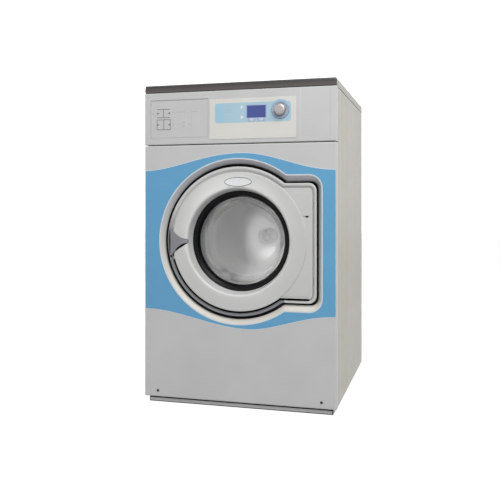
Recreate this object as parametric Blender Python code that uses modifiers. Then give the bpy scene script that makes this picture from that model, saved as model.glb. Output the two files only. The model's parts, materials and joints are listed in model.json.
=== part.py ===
"""Front-loading washer-extractor, built piece by piece at its real size.

Metres, +Z up. The front faces -Y. Pieces are drawn with the cabinet's front face at
y = 0 and y growing into the machine, under an empty that centres the whole on the origin.
"""
import math

import bmesh
import bpy
from mathutils import Matrix, Vector

# Cabinet
cabinet_depth = 0.732
sheet = 0.0015
panel_seam = 0.003
seat_gap = 0.0003
overrun = 0.005
return_depth = 0.032
lid_thickness = 0.027
trim_depth = 0.014
trim_round = 0.006
plinth_inset = 0.014
plinth_bottom = 0.006
panel_bottom = 0.022
rail_height = 0.040
rail_width = 0.040
rail_wall = 0.003
cross_beam_width = 0.060
foot_radius = 0.016
foot_stem_radius = 0.006
foot_inset = 0.032
flange_width = 0.020
fascia_rise = 0.049
fascia_height = 0.184
tub_underside = 0.278
tub_radius = 0.292
mouth_radius = 0.285
mouth_margin = 0.055
half_width = mouth_radius + mouth_margin
cabinet_width = 2 * half_width
axis_height = tub_underside + tub_radius
fascia_bottom = axis_height + mouth_radius + fascia_rise
lid_bottom = fascia_bottom + fascia_height
cabinet_height = lid_bottom + lid_thickness
brace_drop = 0.088
brace_bottom = lid_bottom - brace_drop
brace_height = 0.030
brace_width = 0.040

# Door pocket in the front panel: a round mouth joined to a box for the hinge
box_drop = 0.003
box_centre_height = axis_height - box_drop
mouth_right = 0.294
mouth_half_height = 0.230
mouth_corner = 0.046
throat_radius = 0.261
throat_right = 0.277
throat_half_height = 0.2055
throat_corner = 0.031
throat_depth = 0.016
pocket_depth = 0.062
port_radius = 0.178
arc_steps = 28
corner_steps = 3
ring_steps = 32
small_ring_steps = 16
rod_sides = 12
spring_turns = 5
coil_points = 6

# Door
door_clearance = 0.003
door_step_radius = 0.248
door_step_right = 0.260
door_step_half_height = 0.187
door_step_corner = 0.016
door_step_depth = 0.004
door_edge_depth = 0.014
door_back_depth = 0.018
door_wall = 0.002
rim_shares = ((0, 0), (0.15, 0.55), (0.5, 0.9), (1, 1))
disc_edge_round = 0.0015
window_radius = 0.180
funnel_radius = 0.174
funnel_depth = 0.040
funnel_wall = 0.003
glass_rim_radius = 0.156
frame_outer_radius = 0.235
frame_inner_radius = 0.186
frame_front_depth = 0.0063
frame_back_depth = 0.0546
frame_wall = 0.006
window_ring_back = 0.050
glass_thickness = 0.004
glass_depth = 0.150
bowl_shares = ((0, 1), (0.64, 0.95), (0.82, 0.75), (0.91, 0.4), (0.955, 0.12))
clamp_thickness = 0.003
clamp_radius = 0.160
hinge_x = 0.264
hinge_depth = 0.014
hinge_pin_radius = 0.003
hinge_knuckle_radius = 0.005
hinge_offset = 0.129
hinge_arm_height = 0.012
hinge_arm_thickness = 0.006
hinge_arm_reach = 0.016
hinge_lug_height = 0.008
hinge_plate_width = 0.026
hinge_plate_thickness = 0.004
hinge_plate_margin = 0.020
lug_start_share = 0.8
pin_clearance = 0.00025
running_gap = 0.0005
hinge_cover_right = 0.250
hinge_cover_rise = 0.175
hinge_cover_top = axis_height + hinge_cover_rise
hinge_cover_upper_length = 0.0915
hinge_cover_upper_bottom = hinge_cover_top - hinge_cover_upper_length
hinge_cover_fall = 0.177
hinge_cover_bottom = axis_height - hinge_cover_fall
hinge_cover_lower_length = 0.081
hinge_cover_lower_top = hinge_cover_bottom + hinge_cover_lower_length
hinge_cover_thickness = 0.0027
latch_height = 0.024
latch_x = -0.194
latch_drop = 0.100
latch_thickness = 0.006
latch_reach = 0.028
latch_hole = 0.012
latch_swing = 0.006
lock_bolt_radius = 0.004
lock_bolt_length = 0.022
lock_wall = 0.004
lock_box_height = 0.040

# Door handle
handle_hinge_x = -0.229
handle_hinge_depth = 0.0085
handle_drop = 0.004
handle_height = axis_height - handle_drop
handle_edge_x = -0.2385
handle_tip_x = -0.176
handle_rise = 0.041
handle_top = handle_height + handle_rise
handle_fall = 0.048
handle_bottom = handle_height - handle_fall
handle_tip_half = 0.009
handle_thickness = 0.006
handle_front = 0.0015
handle_barrel_radius = 0.005
handle_pin_radius = 0.002
handle_gap = 0.002
handle_ear = 0.010
handle_pocket_depth = 0.030
fan_steps = 6

# Controls
plate_left = -0.318
plate_right = -0.104
plate_low_margin = 0.025
plate_low = fascia_bottom + plate_low_margin
plate_high_margin = 0.026
plate_high = lid_bottom - plate_high_margin
plate_recess = 0.003
overlay_left = -0.099
overlay_right = 0.205
overlay_low_margin = 0.016
overlay_low = fascia_bottom + overlay_low_margin
overlay_high_margin = 0.030
overlay_high = lid_bottom - overlay_high_margin
overlay_thickness = 0.001
display_left = 0.035
display_right = 0.101
display_low_drop = 0.068
display_low = overlay_high - display_low_drop
display_high_drop = 0.026
display_high = overlay_high - display_high_drop
display_thickness = 0.0035
key_gap = 0.002
key_width = 0.016
key_height = 0.010
key_drop = 0.0015
key_pitch = 0.034
key_centre_x = 0.068
key_stand = 0.0008
dial_x = 0.152
dial_drop = 0.044
dial_height = overlay_high - dial_drop
bezel_radius = 0.032
bezel_inner_radius = 0.0175
bezel_stand = 0.005
knob_radius = 0.0155
knob_stand = 0.019
knob_back = 0.003
knob_press = 0.0015
spindle_radius = 0.003
encoder_radius = 0.009
board_depth = 0.022
board_thickness = 0.0016
board_margin = 0.010
post_radius = 0.004

# Blue band round the door
band_thickness = 0.0005
band_left_top_rise = 0.246
band_left_top = axis_height + band_left_top_rise
band_peak_rise = 0.3
band_peak = axis_height + band_peak_rise
band_right_top_rise = 0.243
band_right_top = axis_height + band_right_top_rise
band_left_bottom_fall = 0.242
band_left_bottom = axis_height - band_left_bottom_fall
band_low_fall = 0.299
band_low = axis_height - band_low_fall
band_right_bottom_fall = 0.246
band_right_bottom = axis_height - band_right_bottom_fall
band_peak_x = 0.012
band_low_x = 0.045
wave_steps = 12

# Tub, drum and drive
tub_wall = 0.002
tub_front = 0.100
tub_back = 0.520
tub_floor_wall = 0.003
neck_radius = 0.168
neck_wall = 0.003
neck_front = 0.086
gasket_wall = 0.0035
gasket_front = 0.058
gasket_fold_radius = 0.190
drum_gap = 0.027
drum_radius = tub_radius - drum_gap
drum_wall = 0.0015
drum_mouth_radius = 0.157
drum_lip_depth = 0.118
drum_front = 0.128
drum_back = 0.480
drum_back_thickness = 0.002
drum_arc_radius = 0.140
drum_cone_depth = 0.012
drum_round = 0.010
drum_flat_radius = 0.055
lifter_height = 0.055
lifter_base = 0.090
lifter_front = 0.155
lifter_back = 0.460
lifter_count = 3
lifter_wall = 0.0015
lifter_start = math.radians(103)
lifter_hollow_share = 0.8
lifter_shares = ((0.12, 0.8), (0.6, 0.35), (0.9, 0.22), (1, 0.1))
cap_radius = 0.032
cap_height = 0.012
cap_top_share = 0.7
spider_thickness = 0.014
spider_arm_width = 0.050
spider_hub_radius = 0.045
spider_hub_length = 0.026
shaft_radius = 0.017
bearing_radius = 0.036
bearing_width = 0.017
housing_radius = 0.058
housing_back = 0.600
housing_foot_radius = 0.110
housing_foot_thickness = 0.010
housing_arm_width = 0.046
housing_arm_thickness = 0.020
housing_arm_reach = 0.270
pulley_radius = 0.150
pulley_width = 0.026
pulley_front = 0.612
pulley_rim = 0.006
pulley_web = 0.006
pulley_hub_radius = 0.030
belt_thickness = 0.0035
belt_width = 0.020
motor_x = 0.150
motor_drop = 0.380
motor_height = axis_height - motor_drop
motor_radius = 0.062
motor_front = 0.420
motor_back = 0.595
motor_wall = 0.004
rotor_radius = 0.009
small_pulley_radius = 0.020
bracket_width = 0.090
bracket_plate = 0.006
weight_inner_radius = 0.205
weight_inset = 0.006
weight_outer_radius = tub_radius - weight_inset
weight_front = 0.074
weight_half_angle = math.radians(40)
heater_gap = 0.0125
heater_radius = drum_radius + heater_gap
heater_tube_radius = 0.004
heater_spread = math.radians(7)
heater_front = 0.170

# Suspension
spring_inset = 0.050
spring_x = half_width - spring_inset
spring_depth = 0.310
spring_coil_radius = 0.014
spring_wire_radius = 0.002
ear_rise = 0.230
ear_height = axis_height + ear_rise
ear_thickness = 0.008
ear_width = 0.040
damper_inset = 0.115
damper_x = half_width - damper_inset
damper_radius = 0.018
damper_wall = 0.003
damper_drop = 0.330
damper_top = axis_height - damper_drop
rod_radius = 0.006
rod_drop = 0.420
rod_bottom = axis_height - rod_drop
rod_clearance = 0.001
damper_lug_drop = 0.220
damper_lug_height = axis_height - damper_lug_drop
damper_lug_width = 0.034

# Water
box_left = -0.300
box_right = -0.080
box_front = 0.050
box_brace_gap = 0.050
box_back = spring_depth - brace_width / 2 - box_brace_gap
box_drop_height = 0.083
box_floor = lid_bottom - box_drop_height
box_wall = 0.003
box_rim = 0.010
box_funnel_radius = 0.018
box_funnel_length = 0.025
lid_gap = 0.003
rim_sheet = 0.002
soap_cells = 4
lid_pin_radius = 0.0025
fill_inlet_angle = math.radians(118)
hose_wall = 0.003
hose_shares = ((0, 0), (0, 0.15), (0.25, 0.35), (0.75, 0.65), (1, 0.85), (1, 1))
valve_left = -0.200
valve_spacing = 0.070
valve_drop = 0.043
valve_height = lid_bottom - valve_drop
valve_radius = 0.012
valve_stand = 0.020
valve_body = 0.050
coil_rise = 0.014
pipe_radius = 0.010
drain_x = -0.110
drain_height = 0.105
drain_depth = 0.400
drain_valve_radius = 0.045
drain_valve_height = 0.110
drain_low_share = 0.95
drain_pipe_radius = 0.0375
drain_stand = 0.035
pipe_wall = 0.003
sump_radius = 0.030

# Rear
service_width = 0.420
service_low = 0.300
service_drop = 0.268
service_high = lid_bottom - service_drop
service_margin = 0.020
service_thickness = 0.0015
vent_slot_height = 0.006
vent_slot_pitch = 0.018
vent_slot_width = 0.160
vent_slots = 6
gland_x = 0.230
gland_drop = 0.103
gland_height = lid_bottom - gland_drop
gland_radius = 0.012
gland_length = 0.018
gland_bore = 0.006
drive_box_width = 0.160
drive_box_depth = 0.110
drive_box_height = 0.090
drive_box_x = -0.238
drive_box_front = 0.012

rear_reach = max(valve_stand, drain_stand, gland_length + service_thickness)
total_depth = knob_stand + cabinet_depth + rear_reach
front_y = knob_stand - total_depth / 2
inner_half = half_width - sheet
quarter = math.pi / 2


def reset_scene():
    """Remove what the file opens with and make the two collections."""
    for item in list(bpy.data.objects):
        bpy.data.objects.remove(item, do_unlink=True)
    made = {}
    for name in ("washer_extractor", "cutters"):
        made[name] = bpy.data.collections.new(name)
        bpy.context.scene.collection.children.link(made[name])
    return made


collections = reset_scene()
machine = bpy.data.objects.new("machine_frame", None)
machine.location = (0, front_y, 0)
collections["washer_extractor"].objects.link(machine)


def paint(name, colour, roughness, metallic=0.0, transmission=0.0):
    """A Principled material."""
    material = bpy.data.materials.new(name)
    material.use_nodes = True
    shader = material.node_tree.nodes["Principled BSDF"]
    shader.inputs["Base Color"].default_value = (*colour, 1)
    shader.inputs["Roughness"].default_value = roughness
    shader.inputs["Metallic"].default_value = metallic
    shader.inputs["Transmission Weight"].default_value = transmission
    return material


paints = {
    "light_paint": paint("light_paint", (0.56, 0.57, 0.57), 0.45),
    "door_grey": paint("door_grey", (0.60, 0.62, 0.62), 0.4),
    "blue_foil": paint("blue_foil", (0.11, 0.36, 0.62), 0.4),
    "handle_grey": paint("handle_grey", (0.27, 0.27, 0.29), 0.45),
    "dark_trim": paint("dark_trim", (0.10, 0.09, 0.08), 0.4),
    "black_rubber": paint("black_rubber", (0.02, 0.02, 0.022), 0.5),
    "white_film": paint("white_film", (0.70, 0.70, 0.67), 0.4),
    "display_blue": paint("display_blue", (0.08, 0.10, 0.32), 0.2),
    "steel": paint("steel", (0.60, 0.60, 0.60), 0.3, 1.0),
    "galvanised": paint("galvanised", (0.50, 0.51, 0.52), 0.5, 1.0),
    "cast_metal": paint("cast_metal", (0.45, 0.45, 0.46), 0.55, 1.0),
    "cast_iron": paint("cast_iron", (0.16, 0.16, 0.17), 0.6, 1.0),
    "glass": paint("glass", (0.9, 0.95, 0.95), 0.03, 0.0, 0.9),
    "plastic": paint("plastic", (0.45, 0.46, 0.48), 0.5),
    "board_green": paint("board_green", (0.03, 0.16, 0.07), 0.5),
}


def empty(name, x, y, z, parent=None):
    """An empty on a joint's axis, in front-face coordinates."""
    pivot = bpy.data.objects.new(name, None)
    pivot.parent = parent or machine
    home = Vector((0, 0, 0)) if parent is None else place_of(parent)
    pivot.location = Vector((x, y, z)) - home
    pivot["place"] = (x, y, z)
    collections["washer_extractor"].objects.link(pivot)
    return pivot


def place_of(pivot):
    """Where an empty stands, in front-face coordinates."""
    return Vector(pivot["place"]) if "place" in pivot else Vector((0, 0, 0))


def piece(name, bm, material, pivot=None, smooth=True):
    """A finished mesh as a named object, carried by its pivot."""
    home = pivot or machine
    bmesh.ops.translate(bm, verts=bm.verts, vec=-place_of(home))
    mesh = bpy.data.meshes.new(name)
    bm.to_mesh(mesh)
    bm.free()
    return named(name, mesh, material, home, smooth)


def named(name, mesh, material, home, smooth=True):
    """An object in the collection that its material's presence asks for."""
    thing = bpy.data.objects.new(name, mesh)
    thing.parent = home
    if material is None:
        collections["cutters"].objects.link(thing)
        thing.hide_render = True
        thing.display_type = "WIRE"
        return thing
    collections["washer_extractor"].objects.link(thing)
    mesh.materials.append(paints[material])
    if smooth:
        mesh.shade_smooth()
        mesh.set_sharp_from_angle(angle=math.radians(35))
    return thing


def box_mesh(x, y, z):
    """A box from its low and high limits."""
    bm = bmesh.new()
    bmesh.ops.create_cube(bm, size=1)
    size = [span[1] - span[0] for span in (x, y, z)]
    centre = [(span[1] + span[0]) / 2 for span in (x, y, z)]
    bmesh.ops.scale(bm, verts=bm.verts, vec=size)
    bmesh.ops.translate(bm, verts=bm.verts, vec=centre)
    return bm


turn_to = {
    "X": Matrix.Rotation(quarter, 4, "Y"),
    "Y": Matrix.Rotation(-quarter, 4, "X"),
    "Z": Matrix.Identity(4),
}


def rod_mesh(axis, start, length, radius, sides=rod_sides, end_radius=None):
    """A round bar or cone from its start point along an axis."""
    bm = bmesh.new()
    last = radius if end_radius is None else end_radius
    bmesh.ops.create_cone(bm, cap_ends=True, segments=sides, radius1=radius, radius2=last,
                          depth=length)
    bmesh.ops.translate(bm, verts=bm.verts, vec=(0, 0, length / 2))
    bmesh.ops.transform(bm, verts=bm.verts, matrix=Matrix.Translation(start) @ turn_to[axis])
    return bm


def box(name, x, y, z, material, pivot=None):
    return piece(name, box_mesh(x, y, z), material, pivot, smooth=False)


def rod(name, axis, start, length, radius, material, pivot=None, sides=rod_sides, end_radius=None):
    return piece(name, rod_mesh(axis, start, length, radius, sides, end_radius), material, pivot)


def turned(name, profile, centre, material, pivot=None, axis="Y", steps=ring_steps):
    """A turned piece: (radius, along) points that run down the outer side, ends last to first."""
    home = pivot or machine
    mesh = bpy.data.meshes.new(name)
    points = [(radius, 0, along) for radius, along in profile]
    open_ends = profile[0][0] == 0 and profile[-1][0] == 0
    edges = [(i, i + 1) for i in range(len(points) - 1)]
    if not open_ends:
        edges.append((len(points) - 1, 0))
    mesh.from_pydata(points, edges, [])
    thing = bpy.data.objects.new(name + "_profile", mesh)
    collections["cutters"].objects.link(thing)
    screw = thing.modifiers.new("turn", "SCREW")
    screw.angle = 2 * math.pi
    screw.steps = steps
    screw.render_steps = steps
    screw.use_merge_vertices = True
    screw.merge_threshold = 0.00001
    graph = bpy.context.evaluated_depsgraph_get()
    made = bpy.data.meshes.new_from_object(thing.evaluated_get(graph))
    bpy.data.objects.remove(thing, do_unlink=True)
    place = Matrix.Translation(Vector(centre) - place_of(home)) @ turn_to[axis]
    made.transform(place)
    made.name = name
    return named(name, made, material, home)


def slab(name, points, span, axis, material, pivot=None, holes=()):
    """A flat outline of (across, up) points, filled and extruded along an axis."""
    home = pivot or machine
    curve = bpy.data.curves.new(name, "CURVE")
    curve.dimensions = "2D"
    curve.fill_mode = "BOTH"
    curve.extrude = (span[1] - span[0]) / 2
    for loop in (points, *holes):
        spline = curve.splines.new("POLY")
        spline.points.add(len(loop) - 1)
        for corner, (across, up) in zip(spline.points, loop):
            corner.co = (across, up, 0, 1)
        spline.use_cyclic_u = True
    thing = bpy.data.objects.new(name + "_outline", curve)
    collections["cutters"].objects.link(thing)
    graph = bpy.context.evaluated_depsgraph_get()
    made = bpy.data.meshes.new_from_object(thing.evaluated_get(graph))
    bpy.data.objects.remove(thing, do_unlink=True)
    middle = (span[0] + span[1]) / 2
    stand = {
        "Y": Matrix.Translation((0, middle, 0)) @ Matrix.Rotation(quarter, 4, "X"),
        "Z": Matrix.Translation((0, 0, middle)),
        "X": Matrix.Translation((middle, 0, 0)) @ Matrix.Rotation(quarter, 4, "Z")
        @ Matrix.Rotation(quarter, 4, "X"),
    }[axis]
    bm = bmesh.new()
    bm.from_mesh(made)
    bmesh.ops.remove_doubles(bm, verts=bm.verts, dist=0.00001)
    bmesh.ops.transform(bm, verts=bm.verts, matrix=stand)
    bmesh.ops.recalc_face_normals(bm, faces=bm.faces)
    if bm.calc_volume(signed=True) < 0:
        bmesh.ops.reverse_faces(bm, faces=bm.faces)
    return piece(name, bm, material, home)


def loft(name, rings, material, pivot=None):
    """A closed solid through rings of equal count, each a list of points, front to back."""
    bm = bmesh.new()
    rows = [[bm.verts.new(point) for point in ring] for ring in rings]
    count = len(rows[0])
    for near, far in zip(rows, rows[1:]):
        for i in range(count):
            after = (i + 1) % count
            bm.faces.new((near[i], near[after], far[after], far[i]))
    bm.faces.new(rows[0])
    bm.faces.new(rows[-1])
    bmesh.ops.recalc_face_normals(bm, faces=bm.faces)
    return piece(name, bm, material, pivot)


def tube(name, path, radius, material, pivot=None, bore=0.0, resolution=2):
    """A round tube along a path of points, with an optional open bore."""
    home = pivot or machine
    made = []
    paths = [(path, radius)]
    if bore:
        first = Vector(path[0]) + (Vector(path[0]) - Vector(path[1])).normalized() * overrun
        last = Vector(path[-1]) + (Vector(path[-1]) - Vector(path[-2])).normalized() * overrun
        paths.append(([first, *path, last], bore))
    for points, thick in paths:
        curve = bpy.data.curves.new(name, "CURVE")
        curve.dimensions = "3D"
        curve.bevel_depth = thick
        curve.bevel_resolution = resolution
        curve.use_fill_caps = True
        curve.resolution_u = 1
        curve.render_resolution_u = 0
        spline = curve.splines.new("POLY")
        spline.points.add(len(points) - 1)
        for corner, place in zip(spline.points, points):
            corner.co = (*place, 1)
        thing = bpy.data.objects.new(name + "_path", curve)
        collections["cutters"].objects.link(thing)
        graph = bpy.context.evaluated_depsgraph_get()
        mesh = bpy.data.meshes.new_from_object(thing.evaluated_get(graph))
        bpy.data.objects.remove(thing, do_unlink=True)
        bm = bmesh.new()
        bm.from_mesh(mesh)
        bmesh.ops.remove_doubles(bm, verts=bm.verts, dist=0.00001)
        bmesh.ops.recalc_face_normals(bm, faces=bm.faces)
        made.append(bm)
    solid = piece(name, made[0], material, home)
    if bore:
        combine(solid, piece(name + "_bore", made[1], None, home), "DIFFERENCE")
    return solid


def combine(target, tool, operation):
    """An exact Boolean between a piece and a hidden tool."""
    step = target.modifiers.new(operation.lower(), "BOOLEAN")
    step.operation = operation
    step.solver = "EXACT"
    step.object = tool
    return target


def cut(target, *tools):
    for tool in tools:
        combine(target, tool, "DIFFERENCE")
    return target


def add(target, *tools):
    for tool in tools:
        combine(target, tool, "UNION")
    return target


def tool_box(name, x, y, z):
    return box(name, x, y, z, None)


def tool_rod(name, axis, start, length, radius, sides=rod_sides):
    return rod(name, axis, start, length, radius, None, sides=sides)


def circle_points(centre, radius, start, stop, steps):
    """Points along an arc, both ends included."""
    turns = [start + (stop - start) * i / steps for i in range(steps + 1)]
    return [(centre[0] + radius * math.cos(t), centre[1] + radius * math.sin(t)) for t in turns]


def keyhole(radius, right, half_height, corner):
    """The door's outline: a circle run into a round-cornered box on its right."""
    top = box_centre_height + half_height
    low = box_centre_height - half_height
    start = math.asin((top - axis_height) / radius)
    stop = 2 * math.pi + math.asin((low - axis_height) / radius)
    mouth = circle_points((0, axis_height), radius, start, stop, arc_steps)
    low_turn = circle_points((right - corner, low + corner), corner, -quarter, 0, corner_steps)
    top_turn = circle_points((right - corner, top - corner), corner, 0, quarter, corner_steps)
    return mouth + low_turn + top_turn


def mouth_outline(grow=0.0):
    return keyhole(mouth_radius + grow, mouth_right + grow, mouth_half_height + grow,
                   mouth_corner + grow)


def throat_outline(grow=0.0):
    return keyhole(throat_radius + grow, throat_right + grow, throat_half_height + grow,
                   throat_corner + grow)


def step_outline(grow=0.0):
    return keyhole(door_step_radius + grow, door_step_right + grow,
                   door_step_half_height + grow, door_step_corner + grow)


def between(outer, inner, share):
    """An outline part of the way from one outline to another."""
    return [(a[0] + (b[0] - a[0]) * share, a[1] + (b[1] - a[1]) * share)
            for a, b in zip(outer, inner)]


def at_depth(outline, depth):
    """An outline of (x, z) points stood at a depth behind the front face."""
    return [(x, depth, z) for x, z in outline]


def wave(levels, places, steps):
    """A smooth line across the front through left, middle and right heights."""
    line = []
    for near in range(len(levels) - 1):
        for i in range(steps + (near == len(levels) - 2)):
            share = i / steps
            rise = (1 - math.cos(math.pi * share)) / 2
            line.append((places[near] + (places[near + 1] - places[near]) * share,
                         levels[near] + (levels[near + 1] - levels[near]) * rise))
    return line


def build_cabinet():
    """Frame, panels, top and feet."""
    frame_side = inner_half - seat_gap
    frame_front = sheet + seat_gap
    frame_rear = cabinet_depth - sheet - seat_gap
    rail_top = panel_bottom + rail_height
    frame = box("base_frame", (-frame_side, frame_side), (frame_front, frame_rear),
                (panel_bottom, rail_top), "galvanised")
    hollow_side = frame_side - rail_wall
    hollow_inner = frame_side - rail_width + rail_wall
    channel = tool_box("channel", (-hollow_side, hollow_side),
                       (frame_front + rail_wall, frame_rear - rail_wall),
                       (panel_bottom - overrun, rail_top - rail_wall))
    cut(channel, tool_box("channel_core", (-hollow_inner, hollow_inner),
                          (frame_front + rail_width - rail_wall,
                           frame_rear - rail_width + rail_wall),
                          (panel_bottom - 2 * overrun, rail_top)))
    opening_side = frame_side - rail_width
    cut(frame, channel)
    cut(frame, tool_box("frame_hole", (-opening_side, opening_side),
                        (frame_front + rail_width, frame_rear - rail_width),
                        (panel_bottom - overrun, rail_top + overrun)))
    beam_front = spring_depth - cross_beam_width / 2
    beam = tool_box("cross_beam", (-opening_side - rail_wall / 2, opening_side + rail_wall / 2),
                    (beam_front, beam_front + cross_beam_width),
                    (rail_top - rail_width / 2, rail_top))
    plinth_side = half_width - plinth_inset
    plinth = tool_box("plinth", (-plinth_side, plinth_side),
                      (plinth_inset, cabinet_depth - plinth_inset),
                      (plinth_bottom, rail_top - rail_wall / 2))
    cut(plinth, tool_box("plinth_hole", (rail_wall - plinth_side, plinth_side - rail_wall),
                         (plinth_inset + rail_wall, cabinet_depth - plinth_inset - rail_wall),
                         (plinth_bottom - overrun, rail_top)))
    add(frame, plinth, beam)
    foot_x = plinth_side - foot_inset / 2 - rail_wall
    foot_ys = (plinth_inset + rail_wall + foot_inset / 2,
               cabinet_depth - plinth_inset - rail_wall - foot_inset / 2)
    for side, x in (("left", -foot_x), ("right", foot_x)):
        for end, y in (("front", foot_ys[0]), ("rear", foot_ys[1])):
            foot = rod(f"foot_{end}_{side}", "Z", (x, y, 0), plinth_bottom - seat_gap,
                       foot_radius, "black_rubber")
            add(foot, tool_rod(f"stem_{end}_{side}", "Z", (x, y, plinth_bottom / 2),
                               rail_top - rail_wall - seat_gap - plinth_bottom / 2,
                               foot_stem_radius))
    build_front_panel()
    build_sides_and_rear()
    build_top()


def build_front_panel():
    """Front sheet with side returns and the drawn pocket for the door."""
    top = fascia_bottom - panel_seam / 2
    panel = box("front_panel", (-half_width, half_width), (0, return_depth),
                (panel_bottom, top), "light_paint")
    cut(panel, tool_box("front_inside", (-inner_half, inner_half),
                        (sheet, return_depth + overrun),
                        (panel_bottom - overrun, top + overrun)))
    grown = sheet
    shell = loft("pocket_shell", [
        at_depth(mouth_outline(grown), sheet / 2),
        at_depth(mouth_outline(grown), sheet),
        at_depth(throat_outline(grown), throat_depth + sheet),
        at_depth(throat_outline(grown), pocket_depth + sheet)], None)
    hollow = loft("pocket_hollow", [
        at_depth(mouth_outline(), -overrun),
        at_depth(mouth_outline(), 0),
        at_depth(throat_outline(), throat_depth),
        at_depth(throat_outline(), pocket_depth)], None)
    add(panel, shell)
    cut(panel, hollow,
        tool_rod("port", "Y", (0, pocket_depth - overrun, axis_height), sheet + 2 * overrun,
                 port_radius, sides=ring_steps),
        tool_box("latch_slot",
                 (latch_x - latch_thickness / 2 - latch_swing,
                  latch_x + latch_thickness / 2 + seat_gap),
                 (pocket_depth - overrun, pocket_depth + sheet + overrun),
                 (axis_height - latch_drop - latch_height / 2 - door_clearance,
                  axis_height - latch_drop + latch_height / 2 + door_clearance)))
    top_line = wave((band_left_top, band_peak, band_right_top),
                    (-half_width, band_peak_x, half_width), wave_steps)
    low_line = wave((band_left_bottom, band_low, band_right_bottom),
                    (-half_width, band_low_x, half_width), wave_steps)
    slab("front_band", low_line + top_line[::-1], (-band_thickness - seat_gap, -seat_gap), "Y",
         "blue_foil", holes=(mouth_outline(seat_gap),))


def build_sides_and_rear():
    """Side panels with inward flanges, the rear panel and its service cover."""
    rail_top = panel_bottom + rail_height
    start = return_depth + sheet
    end = cabinet_depth - sheet - seat_gap
    top = lid_bottom - seat_gap
    for side, sign in (("left", -1), ("right", 1)):
        limits = sorted((sign * half_width, sign * (half_width - flange_width)))
        panel = box(f"side_panel_{side}", limits, (start, end), (panel_bottom, top),
                    "light_paint")
        inner = sorted((sign * inner_half, sign * (half_width - flange_width - overrun)))
        cut(panel,
            tool_box(f"side_inside_{side}", inner, (start + sheet, end - sheet),
                     (panel_bottom - overrun, top - sheet)),
            tool_box(f"side_foot_{side}", inner, (start - overrun, end + overrun),
                     (panel_bottom - overrun, rail_top + seat_gap)))
    rear_front = cabinet_depth - sheet
    rear = box("rear_panel", (-half_width, half_width), (rear_front, cabinet_depth),
               (panel_bottom, top), "galvanised")
    cut(rear,
        tool_box("service_hole", (-service_width / 2, service_width / 2),
                 (rear_front - overrun, cabinet_depth + overrun), (service_low, service_high)),
        tool_rod("drain_hole", "Y", (drain_x, rear_front - overrun, drain_height),
                 sheet + 2 * overrun, drain_pipe_radius + seat_gap, sides=ring_steps),
        tool_rod("gland_hole", "Y", (gland_x, rear_front - overrun, gland_height),
                 sheet + 2 * overrun, gland_radius / 2 + seat_gap))
    for i, x in enumerate((valve_left, valve_left + valve_spacing)):
        cut(rear, tool_rod(f"valve_hole_{i}", "Y", (x, rear_front - overrun, valve_height),
                           sheet + 2 * overrun, valve_radius + seat_gap, sides=small_ring_steps))
    cover_half = service_width / 2 + service_margin
    cover = box("service_cover", (-cover_half, cover_half),
                (cabinet_depth + seat_gap, cabinet_depth + seat_gap + service_thickness),
                (service_low - service_margin, service_high + service_margin), "galvanised")
    for row in range(vent_slots):
        low = service_high - service_margin * 2 - row * vent_slot_pitch
        for side, middle in (("left", -service_width / 4), ("right", service_width / 4)):
            cut(cover, tool_box(f"vent_{side}_{row}",
                                (middle - vent_slot_width / 2, middle + vent_slot_width / 2),
                                (cabinet_depth - overrun, cabinet_depth + 2 * overrun),
                                (low, low + vent_slot_height)))


def build_top():
    """Top panel with the soap opening, its front trim and the cross brace."""
    top_front = trim_depth + seat_gap
    top = box("top_panel", (-half_width, half_width), (top_front, cabinet_depth),
              (lid_bottom, cabinet_height), "light_paint")
    cut(top, tool_box("top_inside", (-inner_half, inner_half),
                      (top_front + sheet, cabinet_depth - sheet),
                      (lid_bottom - overrun, cabinet_height - sheet)),
        tool_box("soap_opening", (box_left - box_rim - lid_gap, box_right + box_rim + lid_gap),
                 (box_front - box_rim - lid_gap, box_back + box_rim + lid_gap),
                 (cabinet_height - lid_thickness / 2, cabinet_height + overrun)))
    low = lid_bottom + seat_gap
    high = cabinet_height
    profile = [(0, low), (trim_depth, low), (trim_depth, high)]
    profile += [(trim_round + y, high - trim_round + z) for y, z in
                circle_points((0, 0), trim_round, quarter, math.pi, corner_steps)]
    slab("top_trim", profile, (-half_width, half_width), "X", "dark_trim")
    side = inner_half - seat_gap
    brace = box("top_brace", (-side, side),
                (spring_depth - brace_width / 2, spring_depth + brace_width / 2),
                (brace_bottom, brace_bottom + brace_height), "galvanised")
    cut(brace, tool_box("brace_inside", (-side - overrun, side + overrun),
                        (spring_depth - brace_width / 2 + rail_wall,
                         spring_depth + brace_width / 2 - rail_wall),
                        (brace_bottom + rail_wall, brace_bottom + brace_height + overrun)))


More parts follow.
